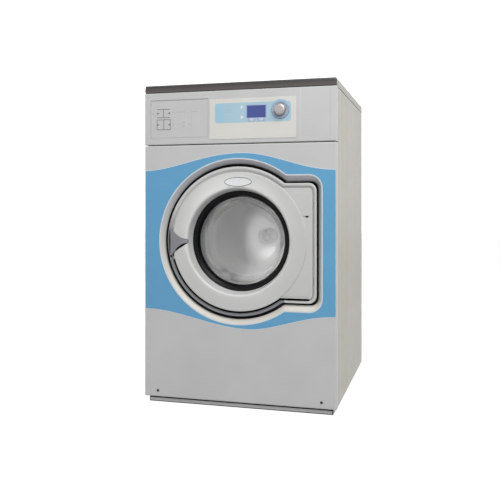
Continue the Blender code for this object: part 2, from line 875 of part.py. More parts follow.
def build_soap_box(pivots):
    """Compartment box under the top panel and its hinged lid."""
    ceiling = cabinet_height - sheet - seat_gap
    box_piece = box("soap_box", (box_left, box_right), (box_front, box_back),
                    (box_floor, ceiling), "plastic")
    spread = box_rim + lid_gap + ear_width / 4
    rim = tool_box("soap_rim", (box_left - spread, box_right + spread),
                   (box_front - spread, box_back + spread), (ceiling - rim_sheet, ceiling))
    funnel_x = box_right - box_rim - box_funnel_radius
    funnel_y = (box_front + box_back) / 2
    funnel = tool_rod("soap_funnel", "Z", (funnel_x, funnel_y, box_floor - box_funnel_length),
                      box_funnel_length + box_wall / 2, box_funnel_radius)
    add(box_piece, rim, funnel)
    width = (box_right - box_left - box_wall * (soap_cells + 1)) / soap_cells
    for cell in range(soap_cells):
        left = box_left + box_wall + cell * (width + box_wall)
        cut(box_piece, tool_box(f"soap_cell_{cell}", (left, left + width),
                                (box_front + box_wall, box_back - box_wall),
                                (box_floor + box_wall, ceiling + overrun)))
        if cell:
            cut(box_piece, tool_box(f"soap_pass_{cell}", (left - box_wall * 2, left + box_wall),
                                    (funnel_y - box_funnel_radius, funnel_y + box_funnel_radius),
                                    (box_floor + box_wall, box_floor + box_wall + box_rim)))
    cut(box_piece, tool_rod("soap_outlet", "Z",
                            (funnel_x, funnel_y, box_floor - box_funnel_length - overrun),
                            box_funnel_length + box_wall + 2 * overrun,
                            box_funnel_radius - box_wall))
    cut(box_piece, tool_rod("soap_inlet", "Y",
                            (valve_left, box_back - box_wall - overrun, valve_height),
                            box_wall + 2 * overrun, clear_of(pipe_radius, rod_sides)))
    pin_z = ceiling - lid_pin_radius
    pin_y = box_back + box_rim - lid_pin_radius
    edge_left = box_left - box_rim
    edge_right = box_right + box_rim
    ear_far = lid_gap + ear_width / 4
    for side, x in (("left", (edge_left - ear_far, edge_left - seat_gap)),
                    ("right", (edge_right + seat_gap, edge_right + ear_far))):
        add(box_piece, tool_box(f"lid_ear_{side}", x,
                                (pin_y - lid_pin_radius * 2, pin_y + lid_pin_radius * 2),
                                (pin_z - lid_pin_radius * 2, ceiling)))
    cut(box_piece,
        tool_box("lid_slot", (edge_left - seat_gap, edge_right + seat_gap),
                 (pin_y - lid_pin_radius - running_gap, pin_y + lid_pin_radius * 2),
                 (pin_z - lid_pin_radius * 2, ceiling + overrun)),
        tool_rod("lid_bore", "X", (edge_left - ear_far - overrun, pin_y, pin_z),
                 edge_right - edge_left + 2 * (ear_far + overrun),
                 lid_pin_radius + pin_clearance))
    pivot = pivots["soap_lid"] = empty("soap_lid_hinge", 0, pin_y, pin_z)
    lid = box("soap_lid", (edge_left, edge_right), (box_front - box_rim, pin_y),
              (cabinet_height - sheet, cabinet_height), "light_paint", pivot)
    stub = ear_far - 2 * seat_gap
    add(lid,
        rod("lid_barrel", "X", (edge_left - stub, pin_y, pin_z),
            edge_right - edge_left + 2 * stub, lid_pin_radius, None, pivot),
        box("lid_web", (edge_left + box_wall, edge_right - box_wall),
            (pin_y - lid_pin_radius, pin_y), (pin_z, cabinet_height - sheet / 2), None, pivot))


def build_controls(pivots):
    """Fascia and everything that it carries."""
    low = fascia_bottom + panel_seam / 2
    high = lid_bottom - seat_gap * 2
    fascia = box("control_fascia", (-half_width, half_width), (0, return_depth), (low, high),
                 "light_paint")
    cut(fascia, tool_box("fascia_inside", (-inner_half, inner_half),
                         (sheet, return_depth + overrun), (low - overrun, high + overrun)))
    add(fascia, tool_box("plate_tray", (plate_left - sheet, plate_right + sheet),
                         (sheet / 2, plate_recess + sheet), (plate_low - sheet,
                                                             plate_high + sheet)))
    cut(fascia, tool_box("plate_well", (plate_left, plate_right), (-overrun, plate_recess),
                         (plate_low, plate_high)))
    overlay_front = -seat_gap - overlay_thickness
    overlay = box("display_overlay", (overlay_left, overlay_right), (overlay_front, -seat_gap),
                  (overlay_low, overlay_high), "white_film")
    window = (display_left, display_right), (display_low, display_high)
    window_hole = tool_box("display_hole", window[0], (overlay_front - overrun, overrun),
                           window[1])
    dial_hole = tool_rod("dial_hole", "Y", (dial_x, overlay_front - overrun, dial_height),
                         2 * overrun + overlay_thickness, bezel_radius + seat_gap, sides=ring_steps)
    neck_hole = tool_rod("neck_hole", "Y", (dial_x, -overrun, dial_height), 3 * overrun,
                         encoder_radius + running_gap)
    cut(overlay, window_hole, dial_hole)
    cut(fascia, window_hole, neck_hole)
    key_top = display_low - key_drop
    key_back = board_depth - key_gap
    for side, x in (("left", key_centre_x - key_pitch / 2),
                    ("right", key_centre_x + key_pitch / 2)):
        limits = (x - key_width / 2, x + key_width / 2)
        key_hole = tool_box(f"key_hole_{side}",
                            (limits[0] - running_gap, limits[1] + running_gap),
                            (overlay_front - overrun, overrun),
                            (key_top - key_height - running_gap, key_top + running_gap))
        cut(overlay, key_hole)
        cut(fascia, key_hole)
        pivots[f"key_{side}"] = empty(f"key_{side}_axis", x, 0, key_top - key_height / 2)
        box(f"soft_key_{side}", limits, (overlay_front - key_stand, key_back),
            (key_top - key_height, key_top), "white_film", pivots[f"key_{side}"])
    box("display_window", (display_left + seat_gap, display_right - seat_gap),
        (overlay_front + seat_gap, overlay_front + seat_gap + display_thickness),
        (display_low + seat_gap, display_high - seat_gap), "display_blue")
    board_front = board_depth
    turned("dial_bezel", [
        (bezel_radius, -seat_gap), (bezel_radius, -bezel_stand / 2),
        (bezel_radius - bezel_stand / 2, -bezel_stand),
        (bezel_inner_radius + bezel_stand / 2, -bezel_stand),
        (bezel_inner_radius, -bezel_stand / 2), (bezel_inner_radius, -seat_gap)],
        (dial_x, 0, dial_height), "steel", steps=ring_steps)
    press = pivots["dial_press"] = empty("dial_press_axis", dial_x, 0, dial_height)
    spin = pivots["dial_turn"] = empty("dial_turn_axis", dial_x, 0, dial_height, press)
    knob_front = -knob_stand
    knob = turned("selector_knob", [
        (0, -knob_back), (knob_radius, -knob_back), (knob_radius, knob_front + knob_press),
        (knob_radius - knob_press, knob_front), (0, knob_front)],
        (dial_x, 0, dial_height), "steel", spin, steps=small_ring_steps)
    spindle_front = (knob_front - knob_back) / 2
    cut(knob, rod("knob_bore", "Y", (dial_x, spindle_front - seat_gap, dial_height),
                  -knob_back - spindle_front + overrun, spindle_radius + pin_clearance, None,
                  spin))
    rod("encoder_shaft", "Y", (dial_x, spindle_front, dial_height),
        board_front - key_gap - spindle_front - knob_press, spindle_radius, "steel", press,
        sides=rod_sides)
    board = box("control_board",
                (overlay_left + board_margin, overlay_right - board_margin),
                (board_front, board_front + board_thickness),
                (overlay_low + board_margin, overlay_high - board_margin), "board_green")
    for i, x in enumerate((overlay_left + 2 * board_margin, overlay_right - 2 * board_margin)):
        for j, z in enumerate((overlay_low + 2 * board_margin, overlay_high - 2 * board_margin)):
            add(board, tool_box(f"post_{i}_{j}", (x - post_radius, x + post_radius),
                                (sheet + seat_gap, board_front + board_thickness / 2),
                                (z - post_radius, z + post_radius)))
    encoder_front = sheet + seat_gap
    add(board, tool_rod("encoder_can", "Y", (dial_x, encoder_front, dial_height),
                        board_front + board_thickness / 2 - encoder_front, encoder_radius))
    cut(board, tool_rod("encoder_bore", "Y", (dial_x, encoder_front - overrun, dial_height),
                        board_front - key_gap + seat_gap + overrun - encoder_front,
                        spindle_radius + pin_clearance))


def handle_outline(grow):
    """The handle's fan: two hollow-curved edges that run from the rim to a blunt tip."""
    reach = handle_tip_x - handle_edge_x
    rise = handle_top - handle_height - handle_tip_half
    drop = handle_height - handle_tip_half - handle_bottom
    upper, lower = [], []
    for i in range(fan_steps + 1):
        share = 1 - i / fan_steps + grow / reach * (1 - 2 * i / fan_steps)
        x = handle_tip_x - reach * share
        upper.append((x, handle_height + handle_tip_half + rise * share ** 2 + grow))
        lower.append((x, handle_height - handle_tip_half - drop * share ** 2 - grow))
    return upper + lower[::-1]


def door_ring(share, grow=0.0):
    """The door's outline from its outer edge, share 0, to the step round its face, share 1."""
    return between(throat_outline(grow - door_clearance), step_outline(grow), share)


def build_door(pivots):
    """The swinging door: cover, cast frame, window, hinge halves, tongue and handle."""
    pivot = pivots["door"] = empty("door_hinge_axis", hinge_x, hinge_depth, axis_height)
    rise = door_edge_depth - door_step_depth
    rim = [(share, door_edge_depth - rise * depth_share) for share, depth_share in rim_shares]
    outside = [at_depth(door_ring(0), door_back_depth)]
    outside += [at_depth(door_ring(share), depth) for share, depth in rim]
    inside = [at_depth(door_ring(0, -door_wall), door_back_depth + overrun)]
    inside += [at_depth(door_ring(share, -door_wall), depth + door_wall)
               for share, depth in rim]
    cover = loft("door_cover", outside, "door_grey", pivot)
    disc_back = door_step_depth + door_wall / 2
    disc_edge = door_step_radius - running_gap
    disc = turned("door_disc", [
        (disc_edge, disc_back), (disc_edge, disc_edge_round), (disc_edge - disc_edge_round, 0),
        (window_radius, 0), (funnel_radius, funnel_depth),
        (funnel_radius + funnel_wall, funnel_depth), (window_radius + funnel_wall, disc_back)],
        (0, 0, axis_height), None, pivot)
    fan = slab("handle_opening", handle_outline(handle_gap),
               (-overrun, door_back_depth + overrun), "Y", None, pivot)
    cut(cover, loft("cover_inside", inside, None, pivot),
        rod("window_opening", "Y", (0, -overrun, axis_height), door_back_depth + 2 * overrun,
            window_radius + funnel_wall / 2, None, pivot, sides=ring_steps))
    relief = handle_barrel_radius + running_gap
    add(cover, disc)
    cut(cover, fan,
        box("barrel_relief", (handle_hinge_x - relief, handle_hinge_x + relief),
            (handle_hinge_depth - relief, door_back_depth),
            (handle_bottom - handle_gap, handle_top + handle_gap), None, pivot))

    span = (door_step_depth - hinge_cover_thickness, door_step_depth + door_wall / 2)
    edge = door_step_radius + seat_gap
    for side, low, high in (("upper", hinge_cover_upper_bottom, hinge_cover_top),
                            ("lower", hinge_cover_bottom, hinge_cover_lower_top)):
        start = math.asin((low - axis_height) / edge)
        stop = math.asin((high - axis_height) / edge)
        arc = circle_points((0, axis_height), edge, stop, start, corner_steps)
        add(cover, slab(f"hinge_cover_{side}",
                        arc + [(hinge_cover_right, low), (hinge_cover_right, high)], span, "Y",
                        None, pivot))

    frame = turned("door_frame", [
        (frame_outer_radius, frame_back_depth), (frame_outer_radius, frame_front_depth),
        (frame_inner_radius, frame_front_depth), (frame_inner_radius, frame_back_depth),
        (clamp_radius, frame_back_depth), (clamp_radius, frame_back_depth + clamp_thickness),
        (frame_inner_radius + frame_wall, frame_back_depth + clamp_thickness),
        (frame_inner_radius + frame_wall, frame_front_depth + frame_wall),
        (frame_outer_radius - frame_wall, frame_front_depth + frame_wall),
        (frame_outer_radius - frame_wall, frame_back_depth)],
        (0, 0, axis_height), "cast_metal", pivot)
    lug_start = frame_outer_radius * lug_start_share
    for side, sign in (("upper", 1), ("lower", -1)):
        middle = axis_height + sign * hinge_offset
        low = middle - hinge_arm_height / 2
        for place, bottom in (("under", low - running_gap - hinge_lug_height),
                              ("over", low + hinge_arm_height + running_gap)):
            lug = box(f"hinge_lug_{side}_{place}", (lug_start, hinge_x),
                      (hinge_depth - hinge_knuckle_radius, hinge_depth + hinge_knuckle_radius),
                      (bottom, bottom + hinge_lug_height), None, pivot)
            eye = rod(f"hinge_eye_{side}_{place}", "Z", (hinge_x, hinge_depth, bottom),
                      hinge_lug_height, hinge_knuckle_radius, None, pivot)
            add(frame, lug, eye)
        reach = hinge_arm_height + 2 * (running_gap + hinge_lug_height)
        bore = rod(f"hinge_bore_{side}", "Z",
                   (hinge_x, hinge_depth, middle - reach / 2 - overrun), reach + 2 * overrun,
                   hinge_pin_radius + pin_clearance, None, pivot)
        cut(frame, bore)
    ear_limits = ((handle_bottom - handle_gap - handle_ear, handle_bottom - handle_gap),
                  (handle_top + handle_gap, handle_top + handle_gap + handle_ear))
    for i, limits in enumerate(ear_limits):
        add(frame, box(f"handle_ear_{i}", (handle_hinge_x - handle_ear / 2,
                                           handle_hinge_x + handle_ear),
                       (frame_front_depth, handle_hinge_depth + handle_ear),
                       limits, None, pivot))
    cut(frame, box("finger_pocket", (handle_edge_x - handle_ear, handle_tip_x + handle_ear),
                   (frame_front_depth - overrun, handle_pocket_depth),
                   (handle_bottom - handle_gap, handle_top + handle_gap), None, pivot))
    add(frame, rod("handle_pin", "Z", (handle_hinge_x, handle_hinge_depth,
                                       handle_bottom - handle_gap - handle_ear / 2),
                   handle_top - handle_bottom + 2 * handle_gap + handle_ear,
                   handle_pin_radius, None, pivot))

    grip = pivots["handle"] = empty("handle_axis", handle_hinge_x, handle_hinge_depth,
                                    handle_height, pivot)
    handle = slab("door_handle", handle_outline(0), (handle_front, handle_front
                                                     + handle_thickness), "Y",
                  "handle_grey", grip)
    add(handle, rod("handle_barrel", "Z", (handle_hinge_x, handle_hinge_depth, handle_bottom),
                    handle_top - handle_bottom, handle_barrel_radius, None, grip))
    cut(handle, rod("handle_eye", "Z", (handle_hinge_x, handle_hinge_depth,
                                        handle_bottom - overrun),
                    handle_top - handle_bottom + 2 * overrun,
                    handle_pin_radius + pin_clearance, None, grip))

    held = frame_inner_radius - seat_gap
    turned("window_ring", [
        (held, window_ring_back), (held, funnel_depth + seat_gap),
        (funnel_radius + running_gap, funnel_depth + seat_gap),
        (glass_rim_radius, window_ring_back - funnel_wall / 2),
        (glass_rim_radius, window_ring_back)], (0, 0, axis_height), "black_rubber", pivot)
    flange = window_ring_back + seat_gap
    depth = glass_depth - flange
    outer = [(glass_rim_radius * wide_share, flange + depth * deep_share)
             for wide_share, deep_share in bowl_shares]
    inner = [(radius and radius - glass_thickness, along - glass_thickness)
             for radius, along in outer]
    turned("door_glass", outer + [
        (outer[-1][0], flange + glass_thickness), (held, flange + glass_thickness),
        (held, flange), (inner[-1][0], flange)] + inner[::-1], (0, 0, axis_height), "glass", pivot)
    latch_z = axis_height - latch_drop
    bolt_y = pocket_depth + latch_reach - latch_hole
    add(frame, box("latch_tongue",
                   (latch_x - latch_thickness / 2, latch_x + latch_thickness / 2),
                   (frame_front_depth + frame_wall / 2, pocket_depth + latch_reach),
                   (latch_z - latch_height / 2, latch_z + latch_height / 2), None, pivot))
    cut(frame, box("latch_hole", (latch_x - latch_thickness, latch_x + latch_thickness),
                   (bolt_y - latch_hole / 2, bolt_y + latch_hole / 2),
                   (latch_z - latch_hole / 2, latch_z + latch_hole / 2), None, pivot))
    build_lock(pivots, latch_z, bolt_y)
    build_hinge_bracket()


def build_lock(pivots, latch_z, bolt_y):
    """Lock box behind the pocket and the bolt that passes through the door's tongue."""
    front = pocket_depth + sheet + seat_gap
    back = pocket_depth + latch_reach + lock_wall
    right = latch_x + latch_thickness / 2 + lock_wall
    rest_tip = latch_x - latch_thickness / 2 - latch_swing
    left = rest_tip - lock_bolt_length - lock_wall
    body = box("lock_box", (left, right), (front, back),
               (latch_z - lock_box_height / 2, latch_z + lock_box_height / 2), "plastic")
    cut(body,
        tool_box("tongue_well",
                 (rest_tip, latch_x + latch_thickness / 2 + seat_gap),
                 (front - overrun, back - lock_wall + running_gap),
                 (latch_z - latch_height / 2 - door_clearance,
                  latch_z + latch_height / 2 + door_clearance)),
        tool_rod("bolt_bore", "X", (left - overrun, bolt_y, latch_z),
                 right - left + 2 * overrun, lock_bolt_radius + seat_gap))
    pivot = pivots["lock"] = empty("lock_slide_axis", rest_tip, bolt_y, latch_z)
    rod("lock_bolt", "X", (rest_tip - lock_bolt_length, bolt_y, latch_z),
        lock_bolt_length - seat_gap, lock_bolt_radius, "steel", pivot)


def build_hinge_bracket():
    """Fixed half of the hinge: a plate on the pocket floor with two hooked arms."""
    arm_x = hinge_x - hinge_arm_reach
    half = hinge_arm_thickness / 2
    plate_y = pocket_depth - seat_gap
    low = axis_height - hinge_offset - hinge_plate_margin
    high = axis_height + hinge_offset + hinge_plate_margin
    bracket = box("hinge_bracket", (arm_x - hinge_plate_width / 2, arm_x + hinge_plate_width / 2),
                  (plate_y - hinge_plate_thickness, plate_y), (low, high), "cast_metal")
    for side, sign in (("upper", 1), ("lower", -1)):
        bottom = axis_height + sign * hinge_offset - hinge_arm_height / 2
        span = (bottom, bottom + hinge_arm_height)
        arm = tool_box(f"arm_{side}", (arm_x - half, arm_x + half),
                       (hinge_depth - half, plate_y - hinge_plate_thickness / 2), span)
        hook = tool_box(f"hook_{side}", (arm_x, hinge_x),
                        (hinge_depth - half, hinge_depth + half), span)
        eye = tool_rod(f"eye_{side}", "Z", (hinge_x, hinge_depth, bottom), hinge_arm_height,
                       hinge_knuckle_radius)
        pin_reach = running_gap + hinge_lug_height
        pin = tool_rod(f"hinge_pin_{side}", "Z", (hinge_x, hinge_depth, bottom - pin_reach),
                       hinge_arm_height + 2 * pin_reach, hinge_pin_radius)
        add(bracket, arm, hook, eye, pin)


def build_tub(pivots):
    """The suspended tub with its front, weights, bearings, motor and gasket."""
    tub = pivots["tub"] = empty("tub_travel_axis", 0, spring_depth, axis_height)
    centre = (0, 0, axis_height)
    neck_inner = neck_radius - neck_wall
    shell = turned("outer_tub", [
        (tub_radius, tub_back), (tub_radius, tub_front), (neck_radius, tub_front),
        (neck_radius, neck_front), (neck_inner, neck_front), (neck_inner, tub_front + tub_wall),
        (tub_radius - tub_wall, tub_front + tub_wall),
        (tub_radius - tub_wall, tub_back - tub_floor_wall),
        (housing_radius + seat_gap, tub_back - tub_floor_wall),
        (housing_radius + seat_gap, tub_back)], centre, "steel", tub)
    ear_inner = math.sqrt(tub_radius ** 2 - (ear_height - axis_height) ** 2) - ear_width / 2
    lug_inner = damper_x - damper_lug_width / 2
    lug_top = axis_height - math.sqrt(tub_radius ** 2 - lug_inner ** 2) + ear_thickness
    for side, sign in (("left", -1), ("right", 1)):
        ear = sorted((sign * ear_inner, sign * (spring_x + ear_width / 2)))
        lug = sorted((sign * lug_inner, sign * (lug_inner + damper_lug_width)))
        lug_span = (spring_depth - damper_lug_width / 2, spring_depth + damper_lug_width / 2)
        core = rod(f"tub_core_{side}", "Y", (0, tub_front, axis_height), tub_back - tub_front,
                   tub_radius - tub_wall / 2, None, tub, sides=ring_steps)
        add(shell,
            cut(box(f"spring_ear_{side}", ear,
                    (spring_depth - ear_width / 2, spring_depth + ear_width / 2),
                    (ear_height - ear_thickness, ear_height), None, tub), core),
            cut(box(f"damper_lug_{side}", lug, lug_span, (damper_lug_height, lug_top), None,
                    tub), core),
            rod(f"damper_rod_{side}", "Z", (sign * damper_x, spring_depth, rod_bottom),
                damper_lug_height + ear_thickness / 2 - rod_bottom, rod_radius, None, tub))
    hollow = tub_radius - tub_wall
    cut(shell,
        rod("sump_outlet", "Z", (drain_x, drain_depth, axis_height - tub_radius - overrun),
            tub_radius - math.sqrt(hollow ** 2 - drain_x ** 2) + 3 * overrun
            + tub_radius - hollow, sump_radius - hose_wall, None, tub),
        fill_port(tub, 0))
    fold = gasket_fold_radius
    wall = gasket_wall
    port = port_radius - seat_gap
    neck = neck_radius + seat_gap
    behind = pocket_depth + sheet + wall
    rear = tub_front - seat_gap
    turned("door_gasket", [
        (neck + wall, rear), (neck + wall, neck_front - wall), (fold, behind + 2 * wall),
        (fold, behind), (port, behind), (port, gasket_front), (port - wall * 3, gasket_front),
        (port - wall * 3, gasket_front + wall), (port - wall, behind + wall),
        (fold - wall, behind + wall), (neck, neck_front - wall * 2), (neck, rear)],
        centre, "black_rubber")
    start, stop = quarter - weight_half_angle, quarter + weight_half_angle
    outer = circle_points((0, axis_height), weight_outer_radius, start, stop, arc_steps // 2)
    inner = circle_points((0, axis_height), weight_inner_radius, stop, start, arc_steps // 2)
    slab("counterweight", outer + inner, (weight_front, tub_front - seat_gap), "Y",
         "cast_iron", tub)
    build_bearings(tub)
    build_motor(pivots, tub)
    build_heater(tub)


def fill_port(tub, grow):
    """The hole that the fill hose enters, up through the tub's wall."""
    x = tub_radius * math.cos(fill_inlet_angle)
    z = axis_height + tub_radius * math.sin(fill_inlet_angle)
    depth = (box_front + box_back) / 2
    return rod("fill_port", "Z", (x, depth, z - 4 * overrun), 8 * overrun,
               box_funnel_radius - box_wall + grow, None, tub)


def build_bearings(tub):
    """Bearing housing on the tub's back, its two bearings and the shaft seal."""
    centre = (0, 0, axis_height)
    foot = tub_back + seat_gap
    mid = housing_back - bearing_width - 2 * seat_gap
    first = foot + bearing_width
    bore = bearing_radius + seat_gap
    web = shaft_radius + bearing_radius / 2
    housing = turned("bearing_housing", [
        (housing_radius, housing_back), (housing_radius, foot + housing_foot_thickness),
        (housing_foot_radius, foot + housing_foot_thickness), (housing_foot_radius, foot),
        (bore, foot), (bore, first), (web, first), (web, mid), (bore, mid),
        (bore, housing_back)], centre, "cast_iron", tub, steps=small_ring_steps)
    for i in range(lifter_count):
        turn = 2 * math.pi * i / lifter_count + quarter
        arm = box_mesh((housing_radius - running_gap, housing_arm_reach),
                       (foot, foot + housing_arm_thickness),
                       (-housing_arm_width / 2, housing_arm_width / 2))
        bmesh.ops.rotate(arm, verts=arm.verts, cent=(0, 0, 0),
                         matrix=Matrix.Rotation(turn, 3, "Y"))
        bmesh.ops.translate(arm, verts=arm.verts, vec=centre)
        add(housing, piece(f"housing_arm_{i}", arm, None, tub))
    ring = clear_of(shaft_radius, small_ring_steps)
    for side, front in (("front", foot), ("rear", housing_back - bearing_width)):
        turned(f"bearing_{side}", [
            (bearing_radius, front + bearing_width - seat_gap), (bearing_radius, front + seat_gap),
            (ring, front + seat_gap), (ring, front + bearing_width - seat_gap)],
            centre, "steel", tub, steps=small_ring_steps)


def build_heater(tub):
    """A hairpin heating element between the drum and the tub's underside."""
    sides = []
    for sign in (-1, 1):
        turn = -quarter + sign * heater_spread
        sides.append((heater_radius * math.cos(turn), axis_height
                      + heater_radius * math.sin(turn)))
    rear = tub_back - tub_floor_wall - seat_gap
    half = (sides[1][0] - sides[0][0]) / 2
    bend = [(half * math.cos(t), heater_front + half - half * math.sin(t), sides[0][1])
            for t in (math.pi - math.pi * i / arc_steps * 4 for i in range(arc_steps // 4 + 1))]
    tube("heating_element", [(-half, rear, sides[0][1]), *bend, (half, rear, sides[0][1])],
         heater_tube_radius, "steel", tub, resolution=1)


def build_motor(pivots, tub):
    """Motor under the tub, its bracket, rotor and the belt."""
    body = turned("motor_housing", [
        (0, motor_back - seat_gap), (motor_radius, motor_back - seat_gap),
        (motor_radius, motor_front), (0, motor_front)],
        (motor_x, 0, motor_height), "cast_metal", tub, steps=small_ring_steps)
    tub_line = math.sqrt(tub_radius ** 2 - (motor_x - bracket_width / 2) ** 2)
    bracket = box("motor_bracket", (motor_x - bracket_width / 2, motor_x + bracket_width / 2),
                  (motor_front + bracket_plate, motor_front + bracket_plate + bracket_width),
                  (motor_height, axis_height - tub_line + bracket_plate), None, tub)
    add(body, bracket)
    cut(body,
        rod("bracket_tub", "Y", (0, motor_front - overrun, axis_height),
            motor_back - motor_front, tub_radius + seat_gap, None, tub, sides=ring_steps),
        rod("motor_bore", "Y", (motor_x, motor_front + motor_wall, motor_height),
            motor_back - motor_front, rotor_radius + running_gap, None, tub))
    spin = pivots["rotor"] = empty("rotor_axis", motor_x, pulley_front, motor_height, tub)
    rotor = rod("motor_rotor", "Y", (motor_x, motor_front + motor_wall + seat_gap, motor_height),
                pulley_front + pulley_width - motor_front - motor_wall, rotor_radius,
                "steel", spin)
    add(rotor, rod("small_pulley", "Y", (motor_x, pulley_front, motor_height), pulley_width,
                   small_pulley_radius, None, spin, sides=small_ring_steps))
    slab("drive_belt", belt_line(seat_gap + belt_thickness),
         (pulley_front + (pulley_width - belt_width) / 2,
          pulley_front + (pulley_width + belt_width) / 2), "Y", "black_rubber", tub,
         holes=(belt_line(seat_gap),))


def belt_line(grow):
    """The belt's path: round both pulleys and along their two outer tangents."""
    large, small = pulley_radius + grow, small_pulley_radius + grow
    across, up = motor_x, motor_height - axis_height
    reach = math.hypot(across, up)
    aim = math.atan2(up, across)
    lean = math.acos((large - small) / reach)
    wrap = 2 * math.pi - 2 * lean
    far = circle_points((0, axis_height), large / math.cos(wrap / arc_steps / 2), aim + lean,
                        aim + lean + wrap, arc_steps)
    near_steps = arc_steps // 4
    near = circle_points((motor_x, motor_height), small / math.cos(lean / near_steps),
                         aim - lean, aim + lean, near_steps)
    return far + near


def lifter_outline(turn, inset, width_share=1.0):
    """A lifter's closed section on the drum's wall, or the smaller one of its hollow."""
    foot_radius = (drum_radius - drum_wall) * math.cos(math.pi / ring_steps) - seat_gap - inset
    base = lifter_base * width_share
    height = lifter_height - 2 * inset
    half_turn = base / 2 / foot_radius
    foot = circle_points((0, 0), foot_radius, -half_turn, half_turn, corner_steps)
    crown = [(foot_radius - height * rise_share, base / 2 * wide_share)
             for rise_share, wide_share in lifter_shares]
    points = foot + crown + [(a, -b) for a, b in reversed(crown)]
    return [(a * math.cos(turn) - b * math.sin(turn),
             axis_height + a * math.sin(turn) + b * math.cos(turn)) for a, b in points]


def build_drum(pivots):
    """Everything that turns with the drum."""
    spin = pivots["drum"] = empty("drum_axis", 0, drum_back, axis_height, pivots["tub"])
    centre = (0, 0, axis_height)
    lip = drum_mouth_radius
    turned("drum_shell", [
        (drum_radius, drum_back), (drum_radius, drum_front + drum_round),
        (drum_radius - drum_round, drum_front), (lip + drum_round, drum_front),
        (lip, drum_lip_depth), (lip - drum_wall, drum_lip_depth + drum_wall / 2),
        (lip + drum_round - drum_wall, drum_front + drum_wall),
        (drum_radius - drum_round - drum_wall / 2, drum_front + drum_wall),
        (drum_radius - drum_wall, drum_front + drum_round), (drum_radius - drum_wall, drum_back)],
        centre, "steel", spin)
    edge = drum_radius - drum_wall - seat_gap
    deep = drum_back - drum_cone_depth
    thick = drum_back_thickness
    face = [(edge, drum_back - thick), (drum_arc_radius, drum_back - thick),
            (drum_arc_radius - drum_cone_depth, deep),
            (drum_flat_radius, deep + drum_cone_depth / 2)]
    back_disc = turned("drum_back_disc", [
        *face,
        (0, face[3][1]), (0, face[3][1] + thick),
        (drum_flat_radius, face[3][1] + thick), (face[2][0], deep + thick),
        (drum_arc_radius, drum_back), (face[0][0], drum_back)], centre, "steel", spin)
    for i in range(lifter_count):
        turn = lifter_start + 2 * math.pi * i / lifter_count
        slab(f"drum_lifter_{i + 1}", lifter_outline(turn, 0), (lifter_front, lifter_back), "Y",
             "steel", spin, holes=(lifter_outline(turn, lifter_wall, lifter_hollow_share),))
    cap_back = face[3][1] - seat_gap
    turned("hub_cap", [
        (0, cap_back), (cap_radius, cap_back), (cap_radius, cap_back - cap_height / 2),
        (cap_radius * cap_top_share, cap_back - cap_height), (0, cap_back - cap_height)],
        centre, "steel", spin, steps=small_ring_steps)
    spider_front = drum_back - thick / 2
    hub_start = face[3][1] + thick / 2
    add(back_disc, turned("spider_hub", [
        (0, spider_front + spider_hub_length),
        (spider_hub_radius, spider_front + spider_hub_length),
        (spider_hub_radius, hub_start), (0, hub_start)], centre, None, spin, steps=small_ring_steps))
    for i in range(lifter_count):
        arm = box_mesh((spider_hub_radius - spider_thickness / 2, edge - drum_round),
                       (spider_front, spider_front + spider_thickness),
                       (-spider_arm_width / 2, spider_arm_width / 2))
        bmesh.ops.rotate(arm, verts=arm.verts, cent=(0, 0, 0),
                         matrix=Matrix.Rotation(-lifter_start - 2 * math.pi * i / lifter_count,
                                                3, "Y"))
        bmesh.ops.translate(arm, verts=arm.verts, vec=centre)
        add(back_disc, piece(f"spider_arm_{i}", arm, None, spin))
    shaft_end = pulley_front + pulley_width + pulley_rim
    add(back_disc, rod("drum_shaft", "Y", (0, spider_front, axis_height),
                       shaft_end - spider_front, shaft_radius, None, spin,
                       sides=small_ring_steps))
    back = pulley_front + pulley_width
    turned("drum_pulley", [
        (pulley_radius, back), (pulley_radius, pulley_front),
        (pulley_radius - pulley_rim, pulley_front),
        (pulley_radius - pulley_rim, back - pulley_web), (pulley_hub_radius, back - pulley_web),
        (pulley_hub_radius, pulley_front), (ring_of_shaft(), pulley_front),
        (ring_of_shaft(), back)], centre, "cast_metal", spin)


def ring_of_shaft():
    """Bore radius of whatever sits on the drum shaft."""
    return shaft_radius + seat_gap


def clear_of(radius, sides):
    """Bore radius whose flats clear a round of a given radius, also as it turns."""
    return (radius + seat_gap) / math.cos(math.pi / sides)


def build_suspension(pivots):
    """Two coil springs from the brace to the tub's ears and two dampers under it."""
    low = ear_height + spring_wire_radius + seat_gap
    high = brace_bottom - spring_wire_radius - seat_gap
    for side, x in (("left", -spring_x), ("right", spring_x)):
        turns = [2 * math.pi * i / coil_points for i in range(spring_turns * coil_points + 1)]
        path = [(x + spring_coil_radius * math.cos(t), spring_depth + spring_coil_radius
                 * math.sin(t), low + (high - low) * t / turns[-1]) for t in turns]
        tube(f"spring_{side}", path, spring_wire_radius, "steel", resolution=1)
    rail_top = panel_bottom + rail_height
    for side, x in (("left", -damper_x), ("right", damper_x)):
        cylinder = rod(f"damper_cylinder_{side}", "Z", (x, spring_depth, rail_top + seat_gap),
                       damper_top - rail_top - seat_gap, damper_radius, "galvanised")
        cut(cylinder, tool_rod(f"damper_bore_{side}", "Z",
                               (x, spring_depth, rail_top + damper_wall + seat_gap),
                               damper_top, rod_radius + rod_clearance))


